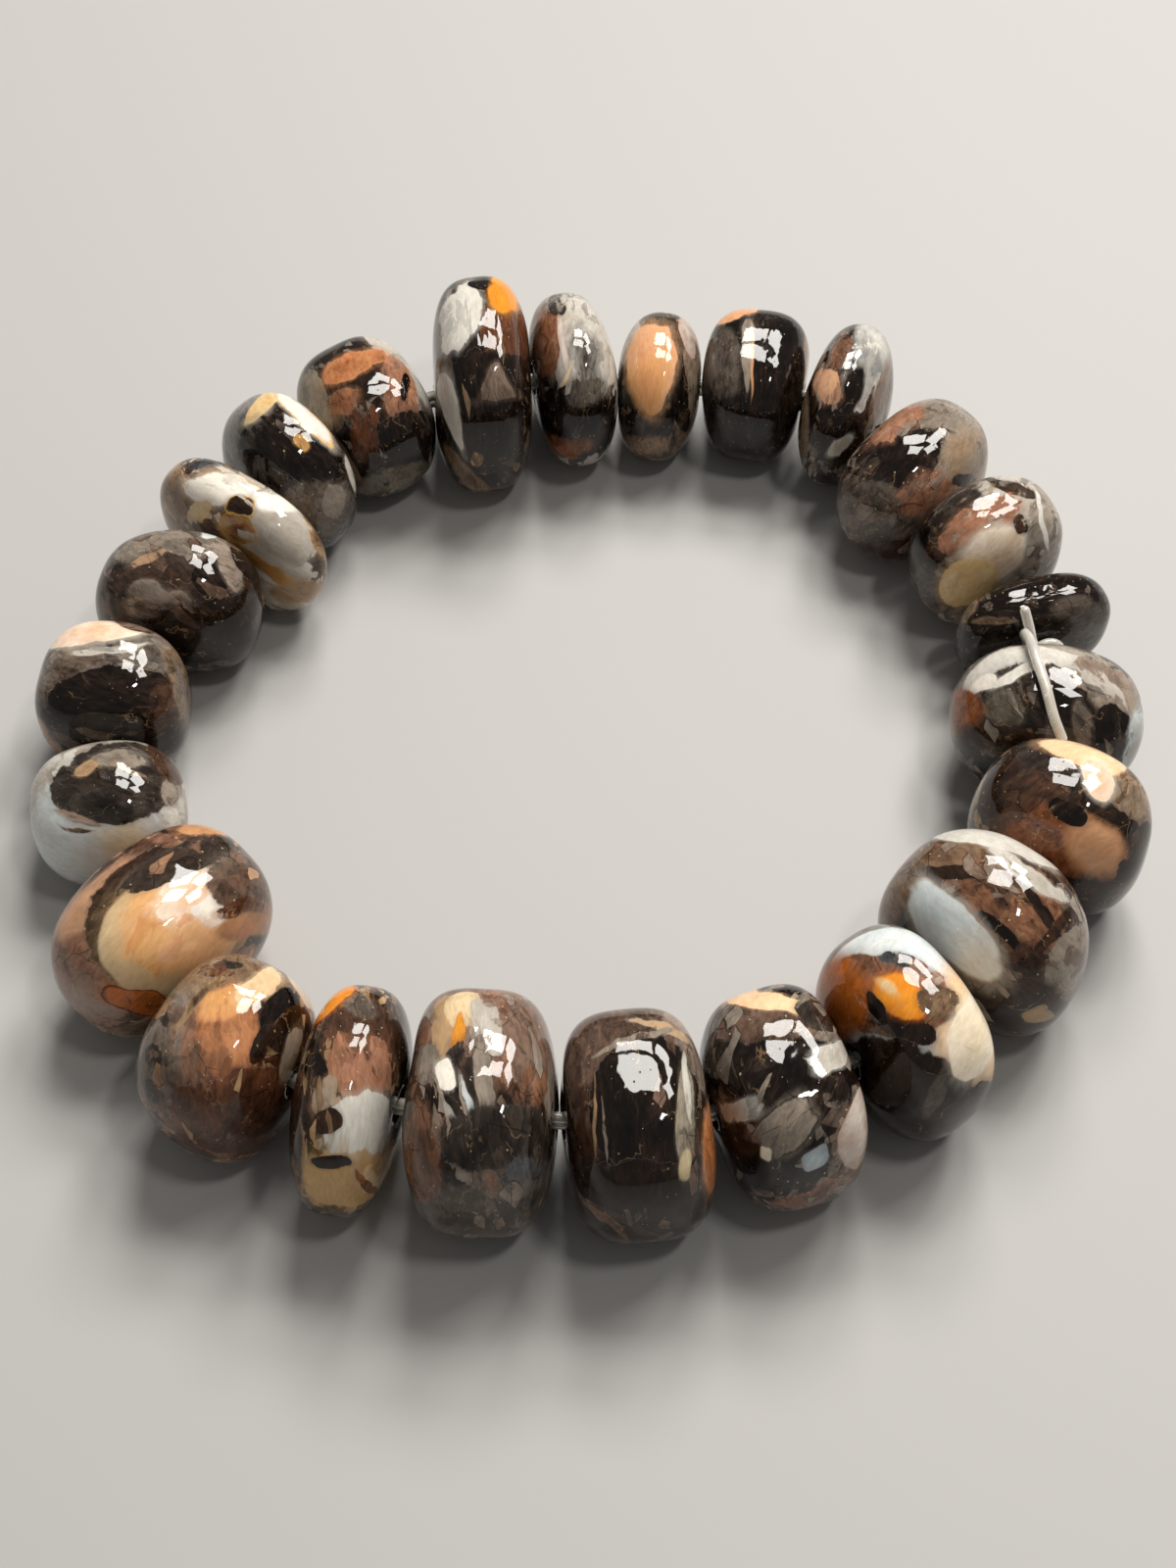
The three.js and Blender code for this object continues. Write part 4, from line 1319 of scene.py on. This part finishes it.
class BRACELET_OT_add_stage(bpy.types.Operator):
    """Add the pale table, the studio lights and the camera"""
    bl_idname = "bracelet.add_stage"
    bl_label = "Add stage"
    bl_options = {"REGISTER", "UNDO"}

    def execute(self, context):
        half = FLOOR_SIZE / 2
        mesh = bpy.data.meshes.new("table_top")
        corners = [(x * half, y * half, CAD_BOUNDS[0][2] - FLOOR_GAP) for x, y in ((-1, -1), (1, -1), (1, 1), (-1, 1))]
        mesh.from_pydata(corners, [], [(0, 1, 2, 3)])
        material = bpy.data.materials.new("pale_table")
        material.use_nodes = True
        connect(material.node_tree.nodes["Principled BSDF"], FLOOR_LOOK)
        mesh.materials.append(material)
        table = bpy.data.objects.new("table_top", mesh)
        context.scene.collection.objects.link(table)

        world = bpy.data.worlds.new("studio")
        world.use_nodes = True
        connect(world.node_tree.nodes["Background"], ROOM_LIGHT)
        context.scene.world = world
        context.scene.view_settings.view_transform = "Standard"
        for name, direction, distance, size, power in LIGHTS:
            add_light(context, name, direction, distance, size, power)

        data = bpy.data.cameras.new("camera")
        data.lens = LENS
        data.clip_start, data.clip_end = 0.01, 10
        camera = bpy.data.objects.new("camera", data)
        camera.location = ((VIEWPOINT + ring_shift()) * METRES).tolist()
        camera.rotation_euler = (math.radians(90 - CAMERA_ELEVATION), 0, 0)
        context.scene.collection.objects.link(camera)
        context.scene.camera = camera
        return {"FINISHED"}


class BRACELET_PT_panel(bpy.types.Panel):
    """Sizes, colours and the steps that build the bracelet"""
    bl_label = "Agate bead bracelet"
    bl_space_type = "VIEW_3D"
    bl_region_type = "UI"
    bl_category = "Bracelet"

    def draw(self, context):
        layout = self.layout
        for name in BraceletSizes.__annotations__:
            layout.prop(context.scene.bracelet_sizes, name)
        for name, _, _ in PALETTE:
            layout.prop(context.scene.bracelet_colours, name)
        for family in STONE_SLOTS:
            layout.operator("bracelet.add_stones", text=f"Add {family} stones").family = family
        layout.operator("bracelet.add_elastic")
        layout.operator("bracelet.add_stage")


CLASSES = (BraceletColours, BraceletSizes, BRACELET_OT_add_stones, BRACELET_OT_add_elastic, BRACELET_OT_add_stage,
           BRACELET_PT_panel)


def register():
    for cls in CLASSES:
        bpy.utils.register_class(cls)
    bpy.types.Scene.bracelet_sizes = PointerProperty(type=BraceletSizes)
    bpy.types.Scene.bracelet_colours = PointerProperty(type=BraceletColours)


def unregister():
    del bpy.types.Scene.bracelet_colours
    del bpy.types.Scene.bracelet_sizes
    for cls in reversed(CLASSES):
        bpy.utils.unregister_class(cls)


def main():
    register()
    bpy.ops.bracelet.add_stage()
    bpy.ops.bracelet.add_elastic()
    for family in STONE_SLOTS:
        bpy.ops.bracelet.add_stones(family=family)


if __name__ == "__main__":
    main()
